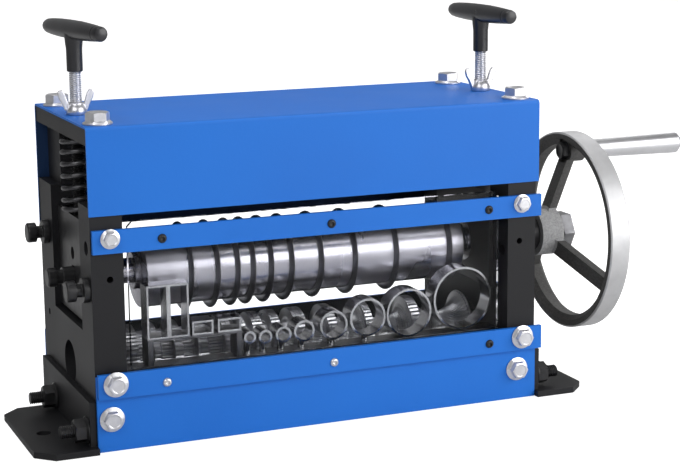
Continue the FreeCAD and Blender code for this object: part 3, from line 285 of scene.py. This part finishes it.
# Cover, bars and panels: sheet steel and flat bar, cut and folded, powder
# coated blue, then screwed to the end plates.
blue_powder = material("blue_powder", coating, SURFACE, {
    "Paint": (0.006, 0.13, 0.53, 1), "Fade": (0.008, 0.145, 0.57, 1), "Peel": 0.05,
    "Gloss": 0.52,
}, Specular_IOR_Level=0.3)
dress(blue_powder, "upper_front_bar", "lower_front_bar", "lower_front_panel", edge=0.0005)


VALUE_A, VALUE_B, VALUE_MIXED = 2, 3, 0


def two_tone(finish, name, low, high, colour, metallic, roughness):
    """Copies a finish and gives the surface inside a box another one."""
    made = finish.copy()
    made.name = name
    tree = made.node_tree
    skin = tree.nodes["Principled BSDF"]
    parts = joined(tree, "ShaderNodeSeparateXYZ")
    tree.links.new(tree.nodes["Texture Coordinate"].outputs["Object"], parts.inputs[0])
    mask = 1.0
    for axis in range(3):
        for operation, limit in (("GREATER_THAN", low[axis]), ("LESS_THAN", high[axis])):
            if limit is not None:
                side = math_node(tree, operation, parts.outputs[axis], limit)
                mask = math_node(tree, "MULTIPLY", side, mask)
    for socket, value in (("Base Color", colour), ("Metallic", metallic), ("Roughness", roughness)):
        entry = skin.inputs[socket]
        before = entry.links[0].from_socket if entry.is_linked else entry.default_value
        mixed = joined(tree, "ShaderNodeMix")
        first, second, result = VALUE_A, VALUE_B, VALUE_MIXED
        if socket == "Base Color":
            mixed.data_type = "RGBA"
            first, second, result = COLOUR_A, COLOUR_B, COLOUR_MIXED
        tree.links.new(mask, mixed.inputs[0])
        feed(tree, mixed.inputs[first], before)
        mixed.inputs[second].default_value = value
        tree.links.new(mixed.outputs[result], entry)
    return made


# Inside faces of the cover get a darker blue: painted shade under the cover, not a different paint.
INSIDE_PAINTED_SHADE_BLUE = (0.003, 0.022, 0.075, 1)
SHEET = 0.0015
low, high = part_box("top_cover")
cover_painted_shade = two_tone(blue_powder, "cover_with_painted_shade", (None, low[1] + SHEET * 0.9, None),
                        (None, high[1] - SHEET * 0.9, high[2] - SHEET * 0.9), INSIDE_PAINTED_SHADE_BLUE, 0.0, 0.6)
dress(cover_painted_shade, "top_cover", edge=0.0005)
# The rear lower panel's inner face is painted near black: painted shade inside the machine.
low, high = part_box("rear_lower_panel")
rear_panel_painted_shade = two_tone(blue_powder, "rear_panel_with_painted_shade", (None, None, None),
                        (None, low[1] + 0.0002, None), (0.008, 0.01, 0.014, 1), 0.0, 0.6)
dress(rear_panel_painted_shade, "rear_lower_panel", edge=0.0005)


# Window: 3 mm clear acrylic, saw-cut edges, held by screws through both bars.
# Its index is set below acrylic's 1.49, so that the pale floor's reflection
# doesn't veil the blades and guides behind it.
acrylic = bpy.data.materials.new("clear_plate")
acrylic.use_nodes = True
pane = acrylic.node_tree
pane.nodes.clear()
where = joined(pane, "ShaderNodeTexCoord")
haze = noise(pane, where.outputs["Object"], 14.0, 2.0)
clear = joined(pane, "ShaderNodeBsdfPrincipled", Base_Color=(0.97, 0.98, 0.985, 1),
               Transmission_Weight=1.0, IOR=1.15)
pane.links.new(ramp(pane, haze, 0.3, 0.7, 0.02, 0.06), clear.inputs["Roughness"])
path = joined(pane, "ShaderNodeLightPath")
lit = joined(pane, "ShaderNodeBsdfTransparent", Color=(0.6, 0.6, 0.6, 1))
choice = joined(pane, "ShaderNodeMixShader", Fac=path.outputs["Is Shadow Ray"])
pane.links.new(clear.outputs[0], choice.inputs[1])
pane.links.new(lit.outputs[0], choice.inputs[2])
joined(pane, "ShaderNodeOutputMaterial", Surface=choice.outputs[0])
dress(acrylic, "front_window", edge=0.0003)


# Flange bolts: cold-forged, bright zinc, a chamfered hexagon with a shallow dish
# on a round flange. They hold the cover, the bars and both lower panels.
def turned(shape, start, axis, corner, rings, steps=48):
    """Skins rings of (distance, radius) about an axis and closes both ends. Either
    value may be a function of the angle, which is measured from corner."""
    start, axis, corner = Vector(start), Vector(axis), Vector(corner)
    other = axis.cross(corner)
    made = []
    for along, radius in rings:
        ring = []
        for step in range(steps):
            turn = step * math.tau / steps
            lift = along(turn) if callable(along) else along
            reach = radius(turn) if callable(radius) else radius
            spoke = corner * math.cos(turn) + other * math.sin(turn)
            ring.append(shape.verts.new(start + axis * lift + spoke * reach))
        made.append(ring)
    for near, far in zip(made, made[1:]):
        for step in range(steps):
            after = (step + 1) % steps
            shape.faces.new((near[step], near[after], far[after], far[step]))
    shape.faces.new(reversed(made[0]))
    shape.faces.new(made[-1])


def piece(name, shape, finish, rider, slot, *stands_for, crease=32):
    """Makes a piece from a bmesh in the part's frame, on its body."""
    bmesh.ops.recalc_face_normals(shape, faces=shape.faces)
    mesh = bpy.data.meshes.new(name)
    shape.to_mesh(mesh)
    shape.free()
    mesh.materials.append(finish)
    mesh.shade_smooth()
    mesh.set_sharp_from_angle(angle=math.radians(crease))
    made = bpy.data.objects.new(name, mesh)
    bpy.context.scene.collection.objects.link(made)
    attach(made, rider)
    if stands_for:
        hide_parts(*stands_for)
    return made


def box(name):
    low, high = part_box(name)
    return Vector(low), Vector(high)


def hexagon_head(shape, seat, axis, corner, across, tall, flange, rise, dish=0.0003):
    """A forged hexagon on a flange, with a chamfered top and a shallow dish."""
    def side(turn):
        return across / 2 / math.cos(turn % (math.pi / 3) - math.pi / 6)

    top = across * 0.47
    turned(shape, seat, axis, corner, [
        (0, flange / 2 - 0.0003), (0.0003, flange / 2), (rise * 0.5, flange / 2),
        (rise, lambda turn: side(turn) + 0.0004), (rise + 0.0003, side),
        (lambda turn: tall - (side(turn) - top) * 0.5, side), (tall, top), (tall, top * 0.86),
        (tall - dish, top * 0.76), (tall - dish, top * 0.1),
    ], steps=72)


zinc_skin, zinc_in, zinc_out = group("zinc_skin", [
    ("Place", "Vector", (0, 0, 0)), ("Metal", "Color", (0.8, 0.8, 0.8, 1)),
    ("Shade", "Color", (0.6, 0.6, 0.6, 1)), ("Gloss", "Float", 0.25),
], OUTS)
place = zinc_in.outputs["Place"]
blotch = noise(zinc_skin, place, 160.0, 3.0)
grain = noise(zinc_skin, place, 1400.0, 2.0)
zinc_skin.links.new(tint(zinc_skin, ramp(zinc_skin, blotch, 0.35, 0.65), zinc_in.outputs["Metal"],
                         zinc_in.outputs["Shade"]), zinc_out.inputs["Colour"])
zinc_skin.links.new(math_node(zinc_skin, "ADD", zinc_in.outputs["Gloss"],
                              ramp(zinc_skin, blotch, 0.3, 0.7, -0.04, 0.05)),
                    zinc_out.inputs["Roughness"])
zinc_skin.links.new(math_node(zinc_skin, "MULTIPLY", grain, 0.006), zinc_out.inputs["Height"])
bright_zinc = material("bright_zinc", zinc_skin, SURFACE, {
    "Metal": (0.72, 0.72, 0.75, 1), "Shade": (0.6, 0.6, 0.63, 1), "Gloss": 0.32,
}, Metallic=0.9)

ACROSS, UP, FORWARD, BACK = Vector((1, 0, 0)), Vector((0, 0, 1)), Vector((0, -1, 0)), Vector((0, 1, 0))
for name, axis, across, tall, flange, rise, reach in [
    ("cover_bolts", UP, 0.013, 0.0075, 0.018, 0.002, 0.009),
    ("upper_bar_bolts", FORWARD, 0.008, 0.0046, 0.012, 0.0012, 0.006),
    ("lower_bar_bolts", FORWARD, 0.010, 0.006, 0.0154, 0.0014, 0.008),
    ("panel_bolts", FORWARD, 0.010, 0.006, 0.0154, 0.0014, 0.008),
    ("rear_panel_bolts", BACK, 0.010, 0.006, 0.0154, 0.0014, 0.008),
]:
    low, high = box(name)
    across_places = (low.x + reach, high.x - reach)
    if axis == UP:
        seats = [(x, y, high.z - tall) for x in across_places
                 for y in (low.y + reach, high.y - reach)]
    else:
        y = low.y + tall if axis == FORWARD else high.y - tall
        two_rows = high.z - low.z > 3 * reach
        levels = (low.z + reach, high.z - reach) if two_rows else ((low.z + high.z) / 2,)
        seats = [(x, y, z) for x in across_places for z in levels]
    heads = bmesh.new()
    for seat in seats:
        hexagon_head(heads, seat, axis, ACROSS, across, tall, flange, rise)
    piece(name.replace("bolts", "bolt_heads"), heads, bright_zinc, "frame", "zinc", name)


# Window screws: button heads with a hexagon socket, the upper three and the
# lower right one blacked, the other two zinc plated.
oxide_black = material("oxide_black", zinc_skin, SURFACE, {
    "Metal": (0.012, 0.012, 0.013, 1), "Shade": (0.022, 0.022, 0.024, 1), "Gloss": 0.38,
}, Metallic=0.3)
SCREW_RADIUS, SCREW_TALL, SOCKET = 0.0028, 0.0015, 0.0024
END_INSET, MIDDLE_SHIFT = 0.0035, 0.006


def button_head(shape, seat):
    def socket(turn):
        return SOCKET / 2 / math.cos(turn % (math.pi / 3) - math.pi / 6)

    turned(shape, seat, FORWARD, ACROSS, [
        (0, SCREW_RADIUS), (SCREW_TALL * 0.25, SCREW_RADIUS), (SCREW_TALL * 0.7, SCREW_RADIUS * 0.86),
        (SCREW_TALL, SCREW_RADIUS * 0.6), (SCREW_TALL, lambda turn: socket(turn) + 0.0001),
        (SCREW_TALL * 0.9, socket), (SCREW_TALL * 0.25, socket), (SCREW_TALL * 0.1, SOCKET * 0.1),
    ], steps=36)


window_low, window_high = box("front_window")
for level, bright in (("upper", ()), ("lower", (0, 1))):
    low, high = box(f"window_screws_{level}")
    bar_front = box(f"{level}_front_bar")[0].y
    middle = (window_low.x + window_high.x) / 2 + MIDDLE_SHIFT
    places = (low.x + END_INSET, middle, high.x - END_INSET)
    for finish, label, slot in ((oxide_black, "dark", "black_oxide"), (bright_zinc, "bright", "zinc")):
        chosen = [x for index, x in enumerate(places) if (index in bright) == (label == "bright")]
        if chosen:
            heads = bmesh.new()
            for x in chosen:
                button_head(heads, (x, bar_front, (low.z + high.z) / 2))
            piece(f"{level}_window_screws_{label}", heads, finish, "frame", slot,
                  f"window_screws_{level}")


# Feet: 4 mm black angle steel with cut corners, each held by two long black
# bolts whose nuts and threaded ends stand out sideways.
def thread(radius, pitch, depth=0.0006):
    """The radius of a thread at a distance along it, as a function of the angle."""
    def at(along):
        return lambda turn: radius - depth * abs(2 * ((along / pitch - turn / math.tau) % 1) - 1)

    return at


def threaded_rod(shape, start, axis, corner, length, radius, pitch, steps=32):
    reach = thread(radius, pitch)
    count = round(length / pitch * 6)
    rings = [(0, radius * 0.8)]
    for step in range(1, count):
        along = length * step / count
        rings.append((along, reach(along)))
    rings.append((length, radius * 0.8))
    turned(shape, start, axis, corner, rings, steps)


NUT_ACROSS, NUT_TALL, NUT_FLANGE, NUT_RISE, NUT_INSET = 0.013, 0.0085, 0.017, 0.0016, 0.0085
STUD_LONG, STUD_SHOWS, ROD_RADIUS, ROD_PITCH = 0.017, 0.009, 0.004, 0.00125
dress(satin_black, "foot_left", "foot_right", edge=0.0005)
for side, out in (("left", -ACROSS), ("right", ACROSS)):
    low, high = box(f"foot_bolts_{side}")
    stud_end = low.x if side == "left" else high.x
    seat_x = stud_end - out.x * STUD_LONG
    level = (low.z + high.z) / 2
    for number, y in enumerate((low.y + NUT_INSET, high.y - NUT_INSET), 1):
        hardware = bmesh.new()
        hexagon_head(hardware, (seat_x, y, level), out, UP, NUT_ACROSS, NUT_TALL, NUT_FLANGE,
                     NUT_RISE, dish=0.0)
        threaded_rod(hardware, (seat_x + out.x * 0.008, y, level), out, UP, STUD_SHOWS,
                     ROD_RADIUS, ROD_PITCH)
        piece(f"foot_bolt_{side}_{number}", hardware, oxide_black, "frame", "black_oxide",
              f"foot_bolts_{side}")


# Collar bolts: two black spools screwed into the outside of the left legs.
dress(oxide_black, "leg_collar_bolts", edge=0.0005)


# Guides: polished stainless tubes, thin rectangular boxes for flat cable, and
# the milled rail and shelf that carry them.
steel_skin, steel_in, steel_out = group("turned_steel", [
    ("Place", "Vector", (0, 0, 0)), ("Metal", "Color", (0.6, 0.6, 0.6, 1)),
    ("Shade", "Color", (0.4, 0.4, 0.4, 1)), ("Gloss", "Float", 0.25), ("Ridge", "Float", 0.03),
    ("Stretch", "Vector", (2400.0, 12.0, 12.0)),
], OUTS)
stretched = joined(steel_skin, "ShaderNodeVectorMath", operation="MULTIPLY")
steel_skin.links.new(steel_in.outputs["Place"], stretched.inputs[0])
steel_skin.links.new(steel_in.outputs["Stretch"], stretched.inputs[1])
rings = noise(steel_skin, stretched.outputs[0], 1.0, 2.0)
stain = noise(steel_skin, steel_in.outputs["Place"], 60.0, 3.0)
steel_skin.links.new(tint(steel_skin, ramp(steel_skin, stain, 0.35, 0.65), steel_in.outputs["Metal"],
                          steel_in.outputs["Shade"]), steel_out.inputs["Colour"])
steel_skin.links.new(math_node(steel_skin, "ADD", steel_in.outputs["Gloss"],
                               ramp(steel_skin, rings, 0.3, 0.7, -0.05, 0.08)),
                     steel_out.inputs["Roughness"])
steel_skin.links.new(math_node(steel_skin, "MULTIPLY", rings, steel_in.outputs["Ridge"]),
                     steel_out.inputs["Height"])
polished_tube = material("polished_tube", steel_skin, SURFACE, {
    "Metal": (0.5, 0.5, 0.52, 1), "Shade": (0.38, 0.38, 0.4, 1), "Gloss": 0.16, "Ridge": 0.004,
    "Stretch": (30.0, 900.0, 30.0),
}, Metallic=1.0)
milled_rail = material("milled_rail", steel_skin, SURFACE, {
    "Metal": (0.14, 0.14, 0.15, 1), "Shade": (0.1, 0.1, 0.11, 1), "Gloss": 0.34, "Ridge": 0.01,
    "Stretch": (20.0, 1500.0, 1500.0),
}, Metallic=1.0)
dress(polished_tube, "tall_guide_pair", "low_guide_1", "low_guide_2",
      *[f"guide_tube_{number}" for number in range(1, 9)], edge=0.00025)
dress(milled_rail, "guide_rail", "guide_shelf", edge=0.0003)


# Feed roller: one turned steel bar, its ridges cut with fine teeth along the
# axis, with one round-bottomed groove under every guide.
roller_steel = material("roller_turned", steel_skin, SURFACE, {
    "Metal": (0.52, 0.52, 0.54, 1), "Shade": (0.4, 0.4, 0.42, 1), "Gloss": 0.3, "Ridge": 0.02,
}, Metallic=1.0)
TEETH, TOOTH, FLAT_GROOVE, GUIDE_WALL, GROOVE_MARGIN = 48, 0.0006, 0.005, 0.0014, 0.0008
ROLLER_HALF, CHAMFER_FROM, JOURNAL_END, JOURNAL = 0.124, 0.123, 0.138, 0.006
roller_low, roller_high = box("feed_roller")
roller_axis = (roller_low.z + roller_high.z) / 2
roller_radius = (roller_high.z - roller_low.z) / 2
round_grooves, flat_grooves = [], []
for number in range(1, 9):
    low, high = box(f"guide_tube_{number}")
    outer = high.x - low.x
    reach = outer / 2 - GUIDE_WALL - GROOVE_MARGIN
    round_grooves.append(((low.x + high.x) / 2, high.z - outer / 2 - roller_axis, reach))
low, high = box("tall_guide_pair")
quarter = (high.x - low.x) / 4
for middle in (low.x + quarter, high.x - quarter):
    flat_grooves.append((middle, quarter - 0.002))
for number in (1, 2):
    low, high = box(f"low_guide_{number}")
    flat_grooves.append(((low.x + high.x) / 2, (high.x - low.x) / 2 - 0.002))


def roller_reach(x):
    """The roller's radius at a place along it: ridges with a groove under each guide."""
    reach = roller_radius - max(0.0, abs(x) - CHAMFER_FROM)
    for middle, half in flat_grooves:
        if abs(x - middle) < half:
            reach = min(reach, roller_radius - FLAT_GROOVE)
    for middle, level, half in round_grooves:
        if abs(x - middle) < half:
            reach = min(reach, level - math.sqrt(half ** 2 - (x - middle) ** 2))
    return reach


def toothed(reach):
    def at(turn):
        return reach - TOOTH * (0.5 - 0.5 * math.cos(turn * TEETH)) ** 0.6

    return at


stations = {-ROLLER_HALF, ROLLER_HALF, -CHAMFER_FROM, CHAMFER_FROM}
for middle, half in flat_grooves:
    stations |= {middle + side * (half + gap) for side in (-1, 1) for gap in (-0.00005, 0.00005)}
for middle, level, half in round_grooves:
    stations |= {middle + side * (half + gap) for side in (-1, 1) for gap in (-0.00005, 0.00005)}
    stations |= {middle + half * math.sin(math.radians(turn)) for turn in range(-80, 81, 10)}
rings = [(-JOURNAL_END, JOURNAL), (-ROLLER_HALF, JOURNAL)]
rings += [(x, toothed(roller_reach(x))) for x in sorted(stations)]
rings += [(ROLLER_HALF, JOURNAL), (JOURNAL_END, JOURNAL)]
roller = bmesh.new()
turned(roller, (0, (roller_low.y + roller_high.y) / 2, roller_axis), ACROSS, UP, rings, steps=TEETH * 4)
piece("fluted_feed_roller", roller, roller_steel, "feed_roller_body", "roller_steel", "feed_roller",
      crease=25)
bearing_ring = material("bearing_ring", steel_skin, SURFACE, {
    "Metal": (0.55, 0.55, 0.56, 1), "Shade": (0.45, 0.45, 0.46, 1), "Gloss": 0.22, "Ridge": 0.004,
}, Metallic=1.0)
dress(bearing_ring, "lower_bearing_left", "lower_bearing_right", "upper_bearing_left",
      "upper_bearing_right", edge=0.0003)


# Blade shaft: ground shaft, sleeves and ten round blades with bevelled edges,
# held between a flange and a lock nut.
sleeve_steel = material("sleeve_steel", steel_skin, SURFACE, {
    "Metal": (0.46, 0.45, 0.5, 1), "Shade": (0.4, 0.39, 0.44, 1), "Gloss": 0.25, "Ridge": 0.0,
    "Stretch": (30.0, 4.0, 4.0),
}, Metallic=1.0)
blade_steel = material("blade_ground", steel_skin, SURFACE, {
    "Metal": (0.26, 0.26, 0.28, 1), "Shade": (0.19, 0.19, 0.2, 1), "Gloss": 0.32, "Ridge": 0.006,
}, Metallic=1.0)
dress(sleeve_steel, "spacer_sleeves", edge=0.0003)
dress(blade_steel, "slitting_blades", "stack_lock_nut", edge=0.0)

# Black oxide for the shaft's end; the feed screws reuse this black as painted shade below the cover.
OXIDE_AND_SHADE_BLACK = (0.012, 0.012, 0.013, 1)
shaft_steel = two_tone(sleeve_steel, "shaft_steel", (None, None, None), (-0.1449, None, None),
                       OXIDE_AND_SHADE_BLACK, 0.2, 0.36)
dress(shaft_steel, "blade_shaft", edge=0.0003)


# Bearing blocks: black blocks that slide in the slots, each under a spring of
# round oiled wire.
dress(oxide_black, "bearing_block_left", "bearing_block_right", edge=0.0006)
oiled_wire = material("oiled_wire", steel_skin, SURFACE, {
    "Metal": (0.09, 0.09, 0.095, 1), "Shade": (0.05, 0.05, 0.055, 1), "Gloss": 0.28, "Ridge": 0.003,
    "Stretch": (90.0, 90.0, 90.0),
}, Metallic=0.8)
WIRE, OPEN_TURNS, WIRE_SIDES, TURN_STEPS = 0.0034, 5.3, 14, 40


def spring_height(turn, tall):
    """Height of the wire's middle after a number of turns, with a closed turn at each end."""
    rise = tall - 3 * WIRE
    if turn < 1:
        return WIRE / 2 + WIRE * turn
    if turn > 1 + OPEN_TURNS:
        return tall - WIRE / 2 - WIRE * (2 + OPEN_TURNS - turn)
    return WIRE * 1.5 + rise * (turn - 1) / OPEN_TURNS


for side in ("left", "right"):
    low, high = box(f"spring_{side}")
    centre = (low + high) / 2
    coil = (high.x - low.x - WIRE) / 2
    tall = high.z - low.z
    wire = bmesh.new()
    count = round((OPEN_TURNS + 2) * TURN_STEPS)
    previous = None
    for step in range(count + 1):
        turn = (OPEN_TURNS + 2) * step / count
        angle = turn * math.tau
        out = Vector((math.cos(angle), math.sin(angle), 0))
        middle = Vector((centre.x, centre.y, low.z + spring_height(turn, tall))) + out * coil
        ring = [wire.verts.new(middle + (out * math.cos(phase) + UP * math.sin(phase)) * WIRE / 2)
                for phase in (math.tau * spot / WIRE_SIDES for spot in range(WIRE_SIDES))]
        if previous:
            for spot in range(WIRE_SIDES):
                after = (spot + 1) % WIRE_SIDES
                wire.faces.new((previous[spot], previous[after], ring[after], ring[spot]))
        else:
            wire.faces.new(ring)
        previous = ring
    wire.faces.new(previous)
    coil_spring = piece(f"spring_coil_{side}", wire, oiled_wire, "frame", "spring_steel",
                        f"spring_{side}")
    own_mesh(coil_spring)


# Handwheel: one iron casting, left as cast inside, its rim turned and
# polished outside. A drive collar, washer and nut hold it on the shaft.
wheel_low, wheel_high = box("handwheel")
wheel_middle = (wheel_low + wheel_high) / 2
dress(oxide_black, "drive_collar", edge=0.0006)
cast_skin, cast_in, cast_out = group("cast_wheel", [
    ("Place", "Vector", (0, 0, 0)), ("Axis", "Vector", (0, 0, 0)), ("Rim", "Float", 0.068),
    ("Hub", "Float", 0.018),
], OUTS + [("Metal", "Float")])
place = cast_in.outputs["Place"]
offset = joined(cast_skin, "ShaderNodeVectorMath", operation="SUBTRACT")
cast_skin.links.new(place, offset.inputs[0])
cast_skin.links.new(cast_in.outputs["Axis"], offset.inputs[1])
flat_offset = joined(cast_skin, "ShaderNodeVectorMath", operation="MULTIPLY")
cast_skin.links.new(offset.outputs[0], flat_offset.inputs[0])
flat_offset.inputs[1].default_value = (0, 1, 1)
distance = joined(cast_skin, "ShaderNodeVectorMath", operation="LENGTH")
cast_skin.links.new(flat_offset.outputs[0], distance.inputs[0])
rim_edge = math_node(cast_skin, "SUBTRACT", cast_in.outputs["Rim"], 0.0012)
polished = math_node(cast_skin, "GREATER_THAN", distance.outputs["Value"], rim_edge)
hub = math_node(cast_skin, "LESS_THAN", distance.outputs["Value"], cast_in.outputs["Hub"])
lumps = noise(cast_skin, place, 700.0, 4.0, 0.65)
patch = noise(cast_skin, place, 70.0, 3.0)
iron = tint(cast_skin, ramp(cast_skin, lumps, 0.35, 0.65), (0.045, 0.044, 0.043, 1),
            (0.078, 0.076, 0.074, 1))
hub_iron = tint(cast_skin, ramp(cast_skin, lumps, 0.35, 0.65), (0.27, 0.27, 0.275, 1),
                (0.42, 0.42, 0.425, 1))
body_iron = tint(cast_skin, hub, iron, hub_iron)
bright = tint(cast_skin, ramp(cast_skin, patch, 0.35, 0.65), (0.58, 0.58, 0.59, 1),
              (0.52, 0.52, 0.53, 1))
cast_skin.links.new(tint(cast_skin, polished, body_iron, bright), cast_out.inputs["Colour"])
cast_skin.links.new(polished, cast_out.inputs["Metal"])
cast_skin.links.new(ramp(cast_skin, polished, 0.0, 1.0, 0.62, 0.56), cast_out.inputs["Roughness"])
cast_skin.links.new(math_node(cast_skin, "MULTIPLY", lumps,
                              ramp(cast_skin, polished, 0.0, 1.0, 0.16, 0.0)),
                    cast_out.inputs["Height"])
cast_iron = material("cast_and_polished", cast_skin, {**SURFACE, "Metal": "Metallic"}, {
    "Axis": (0, wheel_middle.y, wheel_middle.z), "Rim": (wheel_high.z - wheel_low.z) / 2,
})
dress(cast_iron, "handwheel", edge=0.0008)
nut_steel = material("nut_steel", zinc_skin, SURFACE, {
    "Metal": (0.24, 0.24, 0.25, 1), "Shade": (0.17, 0.17, 0.18, 1), "Gloss": 0.36,
}, Metallic=1.0)
dress(nut_steel, "handwheel_nut", edge=0.0006)
low, high = box("crank_pin")
PIN_HEAD, PIN_ACROSS, PIN_RADIUS = 0.005, 0.0105, 0.004
middle = (low + high) / 2
pin = bmesh.new()
seat_x = low.x + PIN_HEAD
hexagon_head(pin, (seat_x, middle.y, middle.z), -ACROSS, UP, PIN_ACROSS, PIN_HEAD, 0.0125, 0.0008)
turned(pin, (seat_x, middle.y, middle.z), ACROSS, UP, [
    (0, PIN_RADIUS), (high.x - seat_x - 0.001, PIN_RADIUS),
    (high.x - seat_x, PIN_RADIUS - 0.001)], steps=32)
piece("crank_pin_bolt", pin, oxide_black, "blade_shaft_body", "cast_iron", "crank_pin")


# Crank grip: turned and polished steel bar with a coned end, free on its pin.
polished_bar = material("polished_bar", steel_skin, SURFACE, {
    "Metal": (0.63, 0.63, 0.65, 1), "Shade": (0.57, 0.57, 0.59, 1), "Gloss": 0.36, "Ridge": 0.002,
}, Metallic=1.0)
dress(polished_bar, "crank_grip", edge=0.0004)


# Feed screws: zinc plated M8 rod with black moulded T-grips, and wing nuts that
# lock them on the cover.
plastic_skin, plastic_in, plastic_out = group("moulded_plastic", [
    ("Place", "Vector", (0, 0, 0)), ("Dye", "Color", (0.02, 0.02, 0.02, 1)),
    ("Gloss", "Float", 0.35),
], OUTS)
place = plastic_in.outputs["Place"]
flow = noise(plastic_skin, place, 40.0, 2.0)
stipple = noise(plastic_skin, place, 1800.0, 2.0)
plastic_skin.links.new(tint(plastic_skin, ramp(plastic_skin, flow, 0.3, 0.7, 0.0, 0.3),
                            plastic_in.outputs["Dye"], (0.035, 0.035, 0.04, 1)),
                       plastic_out.inputs["Colour"])
plastic_skin.links.new(math_node(plastic_skin, "ADD", plastic_in.outputs["Gloss"],
                                 ramp(plastic_skin, flow, 0.3, 0.7, -0.04, 0.06)),
                       plastic_out.inputs["Roughness"])
plastic_skin.links.new(math_node(plastic_skin, "MULTIPLY", stipple, 0.02),
                       plastic_out.inputs["Height"])
moulded_black = material("moulded_black", plastic_skin, SURFACE, {
    "Dye": (0.014, 0.014, 0.016, 1), "Gloss": 0.3,
})
# Below the cover top the zinc rod turns near black: painted shade inside the cover and spring.
zinc_with_painted_shade = two_tone(bright_zinc, "zinc_with_painted_shade", (None, None, None), (None, None, 0.1975), OXIDE_AND_SHADE_BLACK,
                     0.2, 0.36)
GRIP_LONG, GRIP_RADIUS, STEM_LONG, EAR_THICK, EAR_TAPER = 0.088, 0.00595, 0.023, 0.0034, 0.00009
EAR = [(4.4, 0.6), (6.3, 1.4), (7.4, 3.6), (8.8, 7.0), (10.6, 10.0), (11.4, 12.6), (11.3, 14.4),
       (10.2, 15.5), (8.6, 15.4), (7.2, 13.6), (6.2, 10.8), (5.4, 8.2), (4.0, 6.4)]
# EAR is one wing's outline in millimetres: out from the screw's axis, then up.
for side, yaw in (("left", math.radians(8)), ("right", 0.0)):
    low, high = box(f"grip_{side}")
    middle = (low + high) / 2
    along = Vector((math.sin(yaw), -math.cos(yaw), 0))
    bar_level = high.z - GRIP_RADIUS
    grip = bmesh.new()
    turned(grip, Vector((middle.x, middle.y, bar_level)) - along * GRIP_LONG / 2, along, UP, [
        (0, 0.0014), (0.0007, 0.0027), (0.0022, 0.0038), (0.005, 0.0046), (0.012, 0.0052),
        (0.024, 0.0057), (0.040, GRIP_RADIUS), (0.056, 0.0059), (0.068, 0.0055), (0.078, 0.005),
        (0.0806, 0.0048), (0.0808, 0.0043), (0.0814, 0.0043), (0.0816, 0.0047), (0.0860, 0.0046),
        (0.0874, 0.0040), (0.088, 0.0028)], steps=40)
    turned(grip, (middle.x, middle.y, low.z), UP, along, [
        (0, 0.0044), (0.0005, 0.00495), (0.014, 0.0050), (0.0185, 0.0055), (STEM_LONG, 0.0058)],
        steps=36)
    piece(f"t_grip_{side}", grip, moulded_black, f"{side}_feed_screw", "black_plastic",
          f"grip_{side}")

    low, high = box(f"wing_nut_{side}")
    middle = (low + high) / 2
    nut = bmesh.new()
    turned(nut, (middle.x, middle.y, low.z), UP, ACROSS, [
        (0, 0.0060), (0.0005, 0.0065), (0.0030, 0.0063), (0.0070, 0.0054), (0.0075, 0.0050)],
        steps=40)
    for out in (-1, 1):
        for thick in (-0.5, 0.5):
            outline = [nut.verts.new((middle.x + out * u / 1000,
                                      middle.y + thick * (EAR_THICK - v * EAR_TAPER),
                                      low.z + v / 1000)) for u, v in EAR]
            if thick < 0:
                back = outline
        nut.faces.new(back)
        nut.faces.new(list(reversed(outline)))
        for spot in range(len(EAR)):
            after = (spot + 1) % len(EAR)
            nut.faces.new((back[spot], back[after], outline[after], outline[spot]))
    wings = piece(f"wing_nut_forged_{side}", nut, bright_zinc, f"{side}_wing_nut", "zinc",
                  f"wing_nut_{side}", crease=50)
    soften = wings.modifiers.new("soften", "BEVEL")
    soften.width = 0.0007
    soften.segments = 3
    soften.angle_limit = math.radians(50)
    low, high = box(f"feed_screw_{side}")
    rod = bmesh.new()
    threaded_rod(rod, ((low.x + high.x) / 2, (low.y + high.y) / 2, low.z), UP, ACROSS,
                 high.z - low.z, ROD_RADIUS, ROD_PITCH)
    piece(f"threaded_rod_{side}", rod, zinc_with_painted_shade, f"{side}_feed_screw", "zinc",
          f"feed_screw_{side}")
